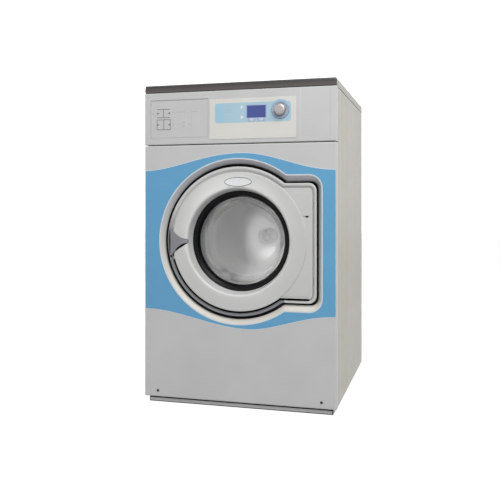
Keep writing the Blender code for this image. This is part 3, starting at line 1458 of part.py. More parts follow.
def build_water():
    """Inlet valves, pipes, hoses and the drain."""
    back_wall = cabinet_depth - sheet
    pipe_end = back_wall - valve_body
    unit = tube("inlet_valves", [(valve_left, box_back - box_wall, valve_height),
                                 (valve_left, pipe_end, valve_height)], pipe_radius, "plastic")
    add(unit, tool_rod("inlet_branch", "X", (valve_left, pipe_end, valve_height), valve_spacing,
                       pipe_radius - seat_gap))
    for side, x in (("cold", valve_left), ("hot", valve_left + valve_spacing)):
        reach = pipe_radius + 2 * seat_gap
        add(unit,
            tool_rod(f"valve_{side}", "Y", (x, pipe_end - pipe_radius, valve_height),
                     cabinet_depth + valve_stand - pipe_end + pipe_radius, valve_radius),
            tool_box(f"coil_{side}", (x - reach, x + reach),
                     (pipe_end + pipe_radius, back_wall - seat_gap),
                     (valve_height - valve_radius - coil_rise, valve_height)))
        cut(unit, tool_rod(f"valve_bore_{side}", "Y", (x, cabinet_depth - overrun, valve_height),
                           valve_stand + 2 * overrun, valve_radius - hose_wall))
    funnel_x = box_right - box_rim - box_funnel_radius
    funnel_y = (box_front + box_back) / 2
    port_x = tub_radius * math.cos(fill_inlet_angle)
    top = box_floor - box_funnel_length - seat_gap
    port_z = axis_height + math.sqrt(
        (tub_radius + seat_gap) ** 2
        - (abs(port_x) - box_funnel_radius) ** 2) + seat_gap
    bend = [(funnel_x + (port_x - funnel_x) * s, funnel_y, top + (port_z - top) * t)
            for s, t in hose_shares]
    tube("fill_hose", bend, box_funnel_radius, "black_rubber",
         bore=box_funnel_radius - hose_wall)
    valve_low = drain_height - drain_valve_radius * drain_low_share
    drain_top = valve_low + drain_valve_height
    drain = rod("drain_valve", "Z", (drain_x, drain_depth, valve_low), drain_valve_height,
                drain_valve_radius, "plastic")
    add(drain, tool_rod("drain_pipe", "Y", (drain_x, drain_depth, drain_height),
                        cabinet_depth + drain_stand - drain_depth, drain_pipe_radius))
    cut(drain, tool_rod("drain_inside", "Z",
                        (drain_x, drain_depth, valve_low + pipe_wall), drain_valve_height,
                        sump_radius - hose_wall),
        tool_rod("drain_passage", "Y", (drain_x, drain_depth, drain_height),
                 cabinet_depth + drain_stand, drain_pipe_radius - pipe_wall))
    tub_under = axis_height - math.sqrt((tub_radius + seat_gap) ** 2
                                        - (abs(drain_x) + sump_radius) ** 2)
    sump_top = axis_height - math.sqrt((tub_radius + seat_gap) ** 2
                                       - (abs(drain_x) - sump_radius) ** 2) - seat_gap
    tube("sump_hose", [(drain_x, drain_depth, drain_top + seat_gap),
                       (drain_x, drain_depth, (drain_top + sump_top) / 2),
                       (drain_x, drain_depth, min(sump_top, tub_under))],
         sump_radius, "black_rubber", bore=sump_radius - hose_wall, resolution=3)


def build_electrics():
    """Motor drive on the base frame and the cable gland on the rear panel."""
    rail_top = panel_bottom + rail_height + seat_gap
    box("motor_drive", (drive_box_x - drive_box_width / 2, drive_box_x + drive_box_width / 2),
        (drive_box_front, drive_box_front + drive_box_depth),
        (rail_top, rail_top + drive_box_height), "plastic")
    gland = rod("cable_gland", "Y", (gland_x, cabinet_depth + seat_gap, gland_height),
                gland_length, gland_radius, "plastic")
    add(gland, tool_rod("gland_neck", "Y",
                        (gland_x, cabinet_depth - sheet - gland_length / 2, gland_height),
                        gland_length, gland_radius / 2))
    cut(gland, tool_rod("gland_passage", "Y",
                        (gland_x, cabinet_depth - gland_length, gland_height),
                        3 * gland_length, gland_bore / 2))


def build():
    """Build every piece, with the moving ones under empties on their joints' axes."""
    pivots = {}
    build_cabinet()
    build_soap_box(pivots)
    build_controls(pivots)
    build_door(pivots)
    build_tub(pivots)
    build_drum(pivots)
    build_suspension(pivots)
    build_water()
    build_electrics()
    return pivots


build()
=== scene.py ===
"""Looks of the front-loading washer-extractor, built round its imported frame.

Metres, +Z up, the front faces -Y. Depths named here count from the cabinet's front face
into the machine; Frame.front turns them into the frame's own coordinates.
"""
from __future__ import annotations

import json
import logging
import math
from dataclasses import dataclass, field
from enum import Enum
from typing import Any, Sequence

import bmesh
import bpy
import numpy as np
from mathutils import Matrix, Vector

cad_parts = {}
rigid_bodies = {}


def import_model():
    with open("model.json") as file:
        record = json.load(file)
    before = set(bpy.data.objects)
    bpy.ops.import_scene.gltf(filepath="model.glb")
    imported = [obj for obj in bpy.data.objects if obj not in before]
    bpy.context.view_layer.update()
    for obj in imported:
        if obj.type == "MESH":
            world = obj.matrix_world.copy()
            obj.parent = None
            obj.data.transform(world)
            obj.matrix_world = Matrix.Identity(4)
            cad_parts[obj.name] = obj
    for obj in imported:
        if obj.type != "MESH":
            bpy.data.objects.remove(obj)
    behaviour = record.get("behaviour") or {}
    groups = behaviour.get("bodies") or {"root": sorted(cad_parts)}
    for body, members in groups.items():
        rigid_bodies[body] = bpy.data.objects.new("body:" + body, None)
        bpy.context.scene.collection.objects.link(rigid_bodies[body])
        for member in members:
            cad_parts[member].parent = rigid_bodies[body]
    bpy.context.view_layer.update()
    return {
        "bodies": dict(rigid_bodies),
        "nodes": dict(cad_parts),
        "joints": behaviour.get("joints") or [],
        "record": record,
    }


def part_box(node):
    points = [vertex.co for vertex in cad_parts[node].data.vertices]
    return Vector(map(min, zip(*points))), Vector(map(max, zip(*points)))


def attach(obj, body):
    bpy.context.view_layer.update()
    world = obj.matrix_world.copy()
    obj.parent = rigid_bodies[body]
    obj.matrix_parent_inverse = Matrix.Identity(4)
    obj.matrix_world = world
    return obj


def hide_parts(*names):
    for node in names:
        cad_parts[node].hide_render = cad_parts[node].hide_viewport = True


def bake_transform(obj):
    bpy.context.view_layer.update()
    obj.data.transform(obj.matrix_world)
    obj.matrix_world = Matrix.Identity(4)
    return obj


Array = np.ndarray
Row = Sequence[float]
Pair = tuple[float, float]
Triple = tuple[float, float, float]
Quad = tuple[float, float, float, float]
Piece = bpy.types.Object
Socket = bpy.types.NodeSocket
Tree = bpy.types.NodeTree
log = logging.getLogger("washer_extractor")
SHARP_ANGLE = math.radians(38)
MERGE_DISTANCE = 1e-6
QUARTER = math.pi / 2
TURN = 2 * math.pi
FRONTWARD = (0, -1, 0)
LONGEST_REACH = 0.49
EDGE_MARGIN = 1.6
TILE_MARGIN = 1.8
FACE_TIE = 1e-3


class Axis(Enum):
    """The axis that a turned piece spins about."""

    X = 0
    Y = 1
    Z = 2


class Side(Enum):
    """Left and right as seen from the front."""

    LEFT = -1
    RIGHT = 1

    @property
    def word(self) -> str:
        """The side's name as the pieces use it."""
        return self.name.lower()


def linear(red: float, green: float, blue: float) -> Quad:
    """Scene colour of a display colour given in 0 to 255.

    Args:
        red, green, blue: the display values.

    Returns:
        Linear red, green, blue and an alpha of one.
    """
    display = np.array([red, green, blue]) / 255.0
    low = display / 12.92
    high = ((display + 0.055) / 1.055) ** 2.4
    mixed = np.where(display <= 0.04045, low, high)
    return (float(mixed[0]), float(mixed[1]), float(mixed[2]), 1.0)


# Grids and profiles


def grid_faces(rows: int, columns: int, loop_rows: bool, loop_columns: bool) -> Array:
    """Quads between neighbouring points of a rows by columns grid.

    Args:
        rows, columns: the grid's counts.
        loop_rows, loop_columns: whether the last row or column joins the first.

    Returns:
        An array of four indices for each quad.
    """
    r = np.arange(rows if loop_rows else rows - 1)
    c = np.arange(columns if loop_columns else columns - 1)
    rr, cc = np.meshgrid(r, c, indexing="ij")
    near, far = rr * columns, ((rr + 1) % rows) * columns
    left, right = cc, (cc + 1) % columns
    return np.stack([near + left, far + left, far + right, near + right], -1).reshape(-1, 4)


def arc(centre: Row, radius: float, start: float, stop: float, steps: int) -> Array:
    """Points centre + radius (cos t, sin t) for t from start to stop, both ends kept."""
    t = np.linspace(start, stop, steps + 1)
    return np.stack([centre[0] + radius * np.cos(t), centre[1] + radius * np.sin(t)], -1)


def rounded(points: Sequence[Row], radii: Row, steps: int = 5, closed: bool = False) -> Array:
    """A polyline with each corner replaced by a tangent arc.

    The arc's ends lie radius * tan(half the turn) from the corner, along each leg.

    Args:
        points: the corners, in order.
        radii: one radius for each corner, zero for a sharp one.
        steps: segments in each arc.
        closed: whether the last corner joins the first.

    Returns:
        The points of the rounded line.
    """
    corners = np.asarray(points, float)
    out: list[Array] = []
    count = len(corners)
    for i, radius in enumerate(radii):
        here = corners[i]
        if radius <= 0 or (not closed and i in (0, count - 1)):
            out.append(here[None])
            continue
        back, ahead = corners[i - 1] - here, corners[(i + 1) % count] - here
        to_back = back / np.linalg.norm(back)
        to_ahead = ahead / np.linalg.norm(ahead)
        half = math.acos(max(-1.0, min(1.0, float(to_back @ to_ahead)))) / 2
        reach = min(radius / math.tan(half), LONGEST_REACH * np.linalg.norm(back),
                    LONGEST_REACH * np.linalg.norm(ahead))
        share = np.linspace(0, 1, steps + 1)[:, None]
        first, last = here + to_back * reach, here + to_ahead * reach
        weight = math.sin(half)
        top = (first * (1 - share) ** 2 + 2 * weight * here * share * (1 - share)
               + last * share ** 2)
        base = (1 - share) ** 2 + 2 * weight * share * (1 - share) + share ** 2
        out.append(top / base)
    return np.concatenate(out)


def circle(radius: float, steps: int, centre: Row = (0.0, 0.0)) -> Array:
    """A circle's points, anticlockwise, the last not repeating the first."""
    return arc(centre, radius, 0.0, TURN, steps)[:-1]


def wheel(steps: int) -> Array:
    """Angles of a full turn, the last not repeating the first."""
    return np.linspace(0, TURN, steps, endpoint=False)


def quarter(steps: int) -> list[Pair]:
    """The pairs 1 - sin t, 1 - cos t of a rounded edge, t from 0 to a quarter turn."""
    return [(1 - math.sin(t), 1 - math.cos(t)) for t in np.linspace(0, QUARTER, steps + 1)]


def smooth(share: Array) -> Array:
    """The smooth step 3 s^2 - 2 s^3 of a share s, held from 0 to 1."""
    held = np.clip(share, 0, 1)
    return held * held * (3 - 2 * held)


def polar(radius: Array | float, turn: Array, depth: Array | float, centre: Row) -> Array:
    """Points (x, depth, z) at a radius and an angle round a centre (x, z)."""
    return np.stack(np.broadcast_arrays(centre[0] + radius * np.cos(turn), depth,
                                        centre[1] + radius * np.sin(turn)), -1)


def rectangle(left: float, right: float, low: float, high: float, corner: float = 0.0,
              steps: int = 6) -> Array:
    """An anticlockwise rectangle with rounded corners."""
    corners = [(left, low), (right, low), (right, high), (left, high)]
    return rounded(corners, [corner] * 4, steps, closed=True)


def inset(outline: Array, distance: float) -> Array:
    """A closed outline moved inwards by distance, each corner along its mitre.

    With unit side normals n and m at a corner, the shift is distance (n + m) / (1 + n.m).
    """
    ahead = np.roll(outline, -1, 0) - outline
    area = np.sum(outline[:, 0] * np.roll(outline, -1, 0)[:, 1]
                  - outline[:, 1] * np.roll(outline, -1, 0)[:, 0])
    side = np.stack([-ahead[:, 1], ahead[:, 0]], -1) * (1.0 if area > 0 else -1.0)
    side /= np.maximum(np.linalg.norm(side, axis=1, keepdims=True), 1e-12)
    before = np.roll(side, 1, 0)
    dot = np.sum(side * before, 1, keepdims=True)
    return outline + distance * (side + before) / np.maximum(1 + dot, 0.2)


def spread(outline: Array, along: float, axis: Axis = Axis.Y) -> Array:
    """Points of a flat outline placed at a height along the axis of its thickness."""
    u, v, w = outline[:, 0], outline[:, 1], np.full(len(outline), along)
    return np.stack({Axis.X: (w, u, v), Axis.Y: (u, w, v), Axis.Z: (u, v, w)}[axis], -1)


@dataclass
class Star:
    """A closed line seen from a centre: its distance at each angle."""

    centre: Pair
    outline: Array

    def __post_init__(self) -> None:
        """Sort the outline by angle, so that a distance can be read between its points."""
        dense = np.concatenate([self.outline, self.outline[:1]])
        share = np.linspace(0, 1, 12, endpoint=False)[:, None, None]
        dense = (dense[None, :-1] * (1 - share) + dense[None, 1:] * share).reshape(-1, 2)
        offset = dense - np.array(self.centre)
        angle = np.arctan2(offset[:, 1], offset[:, 0])
        order = np.argsort(angle)
        self.angles = angle[order]
        self.reach = np.linalg.norm(offset, axis=1)[order]

    def at(self, angles: Array) -> Array:
        """The points of the line at the given angles."""
        reach = np.interp(angles, self.angles, self.reach, period=TURN)
        return np.array(self.centre) + reach[:, None] * np.stack(
            [np.cos(angles), np.sin(angles)], -1)

    def ring(self, angles: Array, depth: float) -> Array:
        """The same points at a depth."""
        return spread(self.at(angles), depth)


@dataclass
class Patchwork:
    """A piece put together from point grids and flat caps that join where they meet.

    Points are (x, depth, z), the depth counted from the cabinet's front face.
    """

    name: str
    points: list[Array] = field(default_factory=list)
    faces: list[list[int]] = field(default_factory=list)
    marks: list[int] = field(default_factory=list)
    count: int = 0

    def keep(self, points: Array, faces: list[list[int]], finish: int) -> None:
        """Store points and the faces that index them, counted from zero."""
        self.faces.extend([[i + self.count for i in face] for face in faces])
        self.marks.extend([finish] * len(faces))
        self.points.append(points)
        self.count += len(points)

    def grid(self, points: Array, loop_rows: bool = False, loop_columns: bool = False,
             finish: int = 0, kept: Array | None = None) -> None:
        """Quads over a rows by columns grid of points, those marked kept where given."""
        faces = grid_faces(points.shape[0], points.shape[1], loop_rows, loop_columns)
        if kept is not None:
            faces = faces[kept.reshape(-1)]
        self.keep(points.reshape(-1, 3), faces.tolist(), finish)

    def cap(self, points: Array, finish: int = 0) -> None:
        """One flat face over a closed outline."""
        self.keep(points, [list(range(len(points)))], finish)

    def turn(self, profile: Array | Sequence[Row], centre: Row,
             axis: Axis = Axis.Y, steps: int = 96, finish: int = 0,
             closed: bool = False) -> None:
        """Spin (radius, along) points a full turn about an axis through the centre."""
        line_of = np.asarray(profile, float)
        turn = wheel(steps)[:, None]
        one, two = line_of[:, 0] * np.cos(turn), line_of[:, 0] * np.sin(turn)
        along = np.broadcast_to(line_of[:, 1], one.shape)
        order = {Axis.X: (along, one, two), Axis.Y: (one, along, two), Axis.Z: (one, two, along)}
        self.grid(np.stack(order[axis], -1) + np.asarray(centre, float), True, closed, finish)

    def loft(self, rings: Sequence[Array], finish: int = 0) -> None:
        """A skin through rings of equally many points."""
        self.grid(np.stack(rings), False, True, finish)

    def plate(self, outline: Array, near: float, far: float, edge: float,
              axis: Axis = Axis.Y, finish: int = 0, back_edge: float = 0.0,
              steps: int = 4) -> None:
        """A solid plate between two heights, its near face's edge rounded by edge.

        The rounding is a quarter ellipse: inset edge (1 - sin t), height edge (1 - cos t).
        """
        way = 1.0 if far > near else -1.0
        rings = [spread(inset(outline, EDGE_MARGIN * edge), near, axis)]
        for side, up in quarter(steps):
            rings.append(spread(inset(outline, edge * side), near + way * edge * up, axis))
        for side, up in quarter(steps)[::-1] if back_edge else ((0.0, 1.0),):
            rings.append(spread(inset(outline, back_edge * side), far - way * back_edge * up,
                                axis))
        self.loft(rings, finish)
        self.cap(rings[0], finish)
        self.cap(rings[-1], finish)

    def pressed(self, us: Row, vs: Row, near: float, far: float,
                bend: float, axis: Axis = Axis.Y, finish: int = 0,
                holes: Sequence[Row] = (), relief: Array | None = None) -> None:
        """A flat sheet with rounded edges and returns, its face cut into tiles.

        Args:
            us, vs: the tiles' lines each way, the outermost being the sheet's edges.
            near, far: the face's and the returns' end's heights along the axis.
            bend: the edges' radius.
            holes: boxes (u low, u high, v low, v high) whose tiles are left open.
            relief: a height added to the face's points inside the edges.
        """
        way = 1.0 if far > near else -1.0
        u0, u1, v0, v1 = us[0], us[-1], vs[0], vs[-1]
        inner_u, inner_v = (
            np.array([a + bend, a + TILE_MARGIN * bend, *middle, b - TILE_MARGIN * bend, b - bend])
            for a, *middle, b in (us, vs))
        gu, gv = np.meshgrid(inner_u, inner_v, indexing="ij")
        face = spread(np.stack([gu, gv], -1).reshape(-1, 2), near, axis).reshape(*gu.shape, 3)
        if relief is not None:
            face[2:-2, 2:-2, axis.value] += relief
        mid_u = (inner_u[1:] + inner_u[:-1])[:, None] / 2
        mid_v = (inner_v[1:] + inner_v[:-1])[None] / 2
        kept = np.ones((len(inner_u) - 1, len(inner_v) - 1), bool)
        for a, b, c, d in holes:
            kept &= ~((mid_u > a) & (mid_u < b) & (mid_v > c) & (mid_v < d))
        self.grid(face, finish=finish, kept=kept)
        edge = np.array([*((u, v0) for u in inner_u[:-1]), *((u1, v) for v in inner_v[:-1]),
                         *((u, v1) for u in inner_u[:0:-1]), *((u0, v) for v in inner_v[:0:-1])])
        counts = [0, len(inner_u) - 1, len(inner_v) - 1, len(inner_u) - 1]
        edge[np.cumsum(counts)] = [(u0, v0), (u1, v0), (u1, v1), (u0, v1)]
        rings = []
        for side, up in quarter(4):
            shift = bend * side
            rings.append(spread(np.clip(edge, [u0 + shift, v0 + shift], [u1 - shift, v1 - shift]),
                                near + way * bend * up, axis))
        rings.append(spread(edge, far, axis))
        self.loft(rings, finish)

    def tube(self, path: Array, radius: float | Array, sides: int = 12,
             closed: bool = False, finish: int = 0, up: Row = (0, 0, 1)) -> None:
        """A round tube along a path, its section square to the path.

        The section's first axis is up less its share along the path, the second their cross.
        """
        before = np.roll(path, 1, 0) if closed else path[[0, *range(len(path) - 1)]]
        after = np.roll(path, -1, 0) if closed else path[[*range(1, len(path)), -1]]
        way = after - before
        way /= np.linalg.norm(way, axis=1, keepdims=True)
        first = np.asarray(up, float) - way * (way @ np.asarray(up, float))[:, None]
        first /= np.linalg.norm(first, axis=1, keepdims=True)
        second = np.cross(way, first)
        turn = wheel(sides)[None, :, None]
        reach = np.broadcast_to(np.asarray(radius, float), len(path))[:, None, None]
        skin = path[:, None] + reach * (np.cos(turn) * first[:, None]
                                        + np.sin(turn) * second[:, None])
        self.grid(skin, closed, True, finish)
        if not closed:
            self.cap(skin[0], finish)
            self.cap(skin[-1], finish)

    def shape(self, finishes: Sequence[Finish] = (), facing: Row | None = None) -> Piece:
        """Make the object and join its seams. Without a finish it is a cutter.

        Args:
            finishes: one for each finish number used.
            facing: for an open skin, the way that its outermost face looks.
        """
        mesh = bpy.data.meshes.new(self.name)
        points = np.concatenate(self.points) + np.array([0.0, Frame.front, 0.0])
        mesh.from_pydata(points.tolist(), [], self.faces)
        mesh.polygons.foreach_set("material_index", self.marks)
        for finish in finishes:
            mesh.materials.append(finish.material())
        work = bmesh.new()
        work.from_mesh(mesh)
        bmesh.ops.remove_doubles(work, verts=work.verts, dist=MERGE_DISTANCE)
        bmesh.ops.dissolve_degenerate(work, edges=work.edges, dist=MERGE_DISTANCE)
        bmesh.ops.recalc_face_normals(work, faces=work.faces)
        if facing is not None:
            way = np.asarray(facing, float)
            last = max(work.faces, key=lambda f: float(np.dot(f.calc_center_median(), way))
                       + FACE_TIE * abs(float(np.dot(f.normal, way))))
            if float(np.dot(last.normal, way)) < 0:
                bmesh.ops.reverse_faces(work, faces=work.faces)
        work.to_mesh(mesh)
        work.free()
        return link(self.name, mesh)

    def build(self, finishes: Sequence[Finish], body: str, slot: str,
              replaces: Sequence[str] = (), sharp: float = SHARP_ANGLE,
              facing: Row | None = None, thick: float = 0.0,
              cutters: Sequence[Piece] = ()) -> Piece:
        """Make the object and give it its wall, its openings and its body.

        Args:
            finishes: one for each finish number used.
            body: the body it rides on, or nothing where it is left unattached.
            slot: the record's material slot; not used.
            replaces: the CAD nodes that it stands for.
            sharp: faces that meet at more than this angle keep a sharp edge.
            facing: for an open skin, the way that its outermost face looks.
            thick: a skin's wall, grown inwards.
            cutters: closed pieces that are cut away, and removed.
        """
        piece = self.shape(finishes, facing)
        if thick:
            wall = piece.modifiers.new("wall", "SOLIDIFY")
            wall.thickness = thick
            wall.offset = -1.0
        for cutter in cutters:
            cut = piece.modifiers.new("cut", "BOOLEAN")
            cut.operation = "DIFFERENCE"
            cut.solver = "EXACT"
            cut.object = cutter
        if thick or cutters:
            settle(piece)
        for cutter in cutters:
            bpy.data.objects.remove(cutter, do_unlink=True)
        piece.data.shade_smooth()
        piece.data.set_sharp_from_angle(angle=sharp)
        if body:
            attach(piece, body)
        if replaces:
            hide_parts(*replaces)
        return piece


def link(name: str, data: bpy.types.ID) -> Piece:
    """An object in the scene with the given mesh, lamp or camera."""
    piece = bpy.data.objects.new(name, data)
    bpy.context.scene.collection.objects.link(piece)
    return piece


def settle(piece: Piece) -> None:
    """Keep the mesh that a piece's modifiers give, and drop the modifiers."""
    bpy.context.view_layer.update()
    seen = piece.evaluated_get(bpy.context.evaluated_depsgraph_get())
    mesh = bpy.data.meshes.new_from_object(seen)
    piece.modifiers.clear()
    old = piece.data
    piece.data = mesh
    bpy.data.meshes.remove(old)
    mesh.name = piece.name


class Frame:
    """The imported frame's own places."""

    front: float = 0.0
    nodes: dict[str, Piece] = {}

    @classmethod
    def read(cls, loaded: dict[str, Any]) -> None:
        """Keep the CAD nodes, and take the front face's place from the front panel.

        Args:
            loaded: what the frame's loader gave.
        """
        cls.nodes = loaded["nodes"]
        cls.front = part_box("front_panel")[0][1]


# Finishes


COLOUR_CLOUDS = 9.0
GLOSS_CLOUDS = 31.0
COAT_ROUGHNESS = 0.06
CRYSTALS = 90.0
GLASS_CLOUDS = 12.0
GLASS_WAVES = 14.0


def fill(tree: Tree, node: bpy.types.Node, **inputs: Any) -> None:
    """Link or set a node's inputs.

    Args:
        tree: the nodes that it is one of.
        node: the node.
        inputs: a socket to link or a value to set, by the input's name with underscores for
            spaces, or by an underscore and its number.
    """
    for key, given in inputs.items():
        target = node.inputs[int(key[1:]) if key[0] == "_" else key.replace("_", " ")]
        if isinstance(given, Socket):
            tree.links.new(given, target)
        else:
            target.default_value = given


def add_node(tree: Tree, kind: str, **inputs: Any) -> bpy.types.Node:
    """Add a shader node of a kind, its inputs given as in fill."""
    node = tree.nodes.new(f"ShaderNode{kind}")
    fill(tree, node, **inputs)
    return node


class Graph:
    """A material's nodes, with short calls for the patterns that the finishes share."""

    def __init__(self, name: str) -> None:
        """Start a material with one Principled shader.

        Args:
            name: the material's name.
        """
        self.material = bpy.data.materials.new(name)
        self.material.use_nodes = True
        self.tree = self.material.node_tree
        self.tree.nodes.clear()
        self.shader = self.node("BsdfPrincipled")
        self.out = self.node("OutputMaterial", Surface=self.shader.outputs[0])

    def node(self, kind: str, **inputs: Any) -> bpy.types.Node:
        """Add a node to the material."""
        return add_node(self.tree, kind, **inputs)

    def set(self, **inputs: Any) -> None:
        """Link or set the shader's own inputs."""
        fill(self.tree, self.shader, **inputs)

    def place(self, scale: Row = (1, 1, 1)) -> Socket:
        """Object coordinates, scaled along each axis."""
        spot = self.node("TexCoord").outputs["Object"]
        return self.node("Mapping", Vector=spot, Scale=tuple(scale)).outputs["Vector"]

    def noise(self, where: Socket, scale: float, detail: float = 3.0) -> Socket:
        """A noise value at the given coordinates."""
        return self.node("TexNoise", Vector=where, Scale=scale, Detail=detail).outputs["Fac"]

    def cells(self, where: Socket, scale: float) -> Socket:
        """The random colour of each Voronoi cell."""
        return self.node("TexVoronoi", Vector=where, Scale=scale).outputs["Color"]

    def span(self, value: Socket, low: float, high: float, from_low: float = 0.3,
             from_high: float = 0.7) -> Socket:
        """A value brought from one range to another."""
        return self.node("MapRange", Value=value, From_Min=from_low, From_Max=from_high,
                         To_Min=low, To_Max=high).outputs["Result"]

    def blend(self, share: Socket, first: Row, second: Row) -> Socket:
        """A colour between two, by a share from 0 to 1."""
        node = self.node("Mix", _0=share)
        node.data_type = "RGBA"
        one, two = (s for s in node.inputs if s.type == "RGBA")
        one.default_value, two.default_value = tuple(first), tuple(second)
        return next(s for s in node.outputs if s.type == "RGBA")

    def relief(self, height: Socket, depth: float) -> None:
        """Bump the surface by a height value."""
        bump = self.node("Bump", Height=height, Distance=depth, Strength=1.0)
        self.set(Normal=bump.outputs["Normal"])


@dataclass(frozen=True)
class Finish:
    """A finish with a slightly uneven colour and gloss.

    The colours are display values; the kinds below add their own grain.
    """

    name: str
    colour: Triple
    rough: float = 0.4
    metal: float = 0.0
    grain: float = 400.0
    depth: float = 0.00003
    unevenness: float = 0.03
    coat: float = 0.0
    shine: float = 0.5
    flow: Triple = (1.0, 1.0, 1.0)

    def material(self) -> bpy.types.Material:
        """The finish's material, made once."""
        made = bpy.data.materials.get(self.name)
        if made:
            return made
        graph = Graph(self.name)
        self.draw(graph)
        return graph.material

    def tones(self) -> tuple[tuple[float, ...], tuple[float, ...]]:
        """The colour a little darker and a little lighter."""
        dark = linear(*(c * (1 - self.unevenness) for c in self.colour))
        light = linear(*(min(255.0, c * (1 + self.unevenness)) for c in self.colour))
        return dark, light

    def tint(self, graph: Graph) -> Socket:
        """The clouded colour, its clouds stretched by flow."""
        cloud = graph.span(graph.noise(graph.place(self.flow), COLOUR_CLOUDS), 0.0, 1.0)
        return graph.blend(cloud, *self.tones())

    def draw(self, graph: Graph) -> None:
        """Uneven colour and gloss over a fine even grain."""
        where = graph.place()
        gloss = graph.noise(where, GLOSS_CLOUDS)
        graph.set(Base_Color=self.tint(graph), Metallic=self.metal, Coat_Weight=self.coat,
                  Coat_Roughness=COAT_ROUGHNESS, Specular_IOR_Level=self.shine,
                  Roughness=graph.span(gloss, self.rough * 0.9, self.rough * 1.1))
        graph.relief(graph.noise(where, self.grain, 2.0), self.depth)


@dataclass(frozen=True)
class Graded(Finish):
    """A finish that runs from its own colour above to another below: painted light and shade by
    height.
    """

    below: Triple = (0.0, 0.0, 0.0)
    low: float = 0.0
    high: float = 1.0

    def tint(self, graph: Graph) -> Socket:
        """The two colours mixed by height."""
        height = graph.node("SeparateXYZ", _0=graph.place()).outputs[2]
        share = graph.span(height, 0.0, 1.0, self.low, self.high)
        return graph.blend(share, linear(*self.below), linear(*self.colour))


class Brushed(Finish):
    """Metal with fine marks along one axis: the largest of grain by stretch."""

    stretch: Triple = (1.0, 1.0, 0.02)

    def draw(self, graph: Graph) -> None:
        """Streaks in the colour, the gloss and the relief."""
        streak = graph.noise(graph.place(self.stretch), self.grain, 4.0)
        graph.set(Base_Color=graph.blend(graph.span(streak, 0, 1), *self.tones()),
                  Metallic=self.metal,
                  Roughness=graph.span(streak, self.rough * 0.75, self.rough * 1.25))
        graph.relief(streak, self.depth)


class Swept(Brushed):
    """Metal brushed round the machine's depth axis, so its marks run along the depth."""

    stretch: Triple = (1.0, 0.02, 1.0)


class Spangle(Finish):
    """Galvanised sheet: large dull crystals, each with its own grey and gloss."""

    def draw(self, graph: Graph) -> None:
        """Voronoi cells in the colour and the gloss."""
        where = graph.place()
        cell = graph.cells(where, CRYSTALS)
        graph.set(Base_Color=graph.blend(graph.span(cell, 0, 1, 0, 1), *self.tones()),
                  Metallic=self.metal,
                  Roughness=graph.span(cell, self.rough * 0.8, self.rough * 1.2, 0, 1))
        graph.relief(graph.noise(where, self.grain, 2.0), self.depth)


class Clear(Finish):
    """Clear glass, smooth but for a faint waviness. Part of the light goes straight through."""

    bends: float = 1.25
    opacity: float = 0.45

    def draw(self, graph: Graph) -> None:
        """Transmission and some alpha, with faint waves in the gloss and the relief."""
        where = graph.place()
        graph.set(Base_Color=linear(*self.colour), Transmission_Weight=1.0, IOR=self.bends,
                  Alpha=self.opacity,
                  Roughness=graph.span(graph.noise(where, GLASS_CLOUDS), 0.0, self.rough))
        graph.relief(graph.noise(where, GLASS_WAVES, 1.0), self.depth)


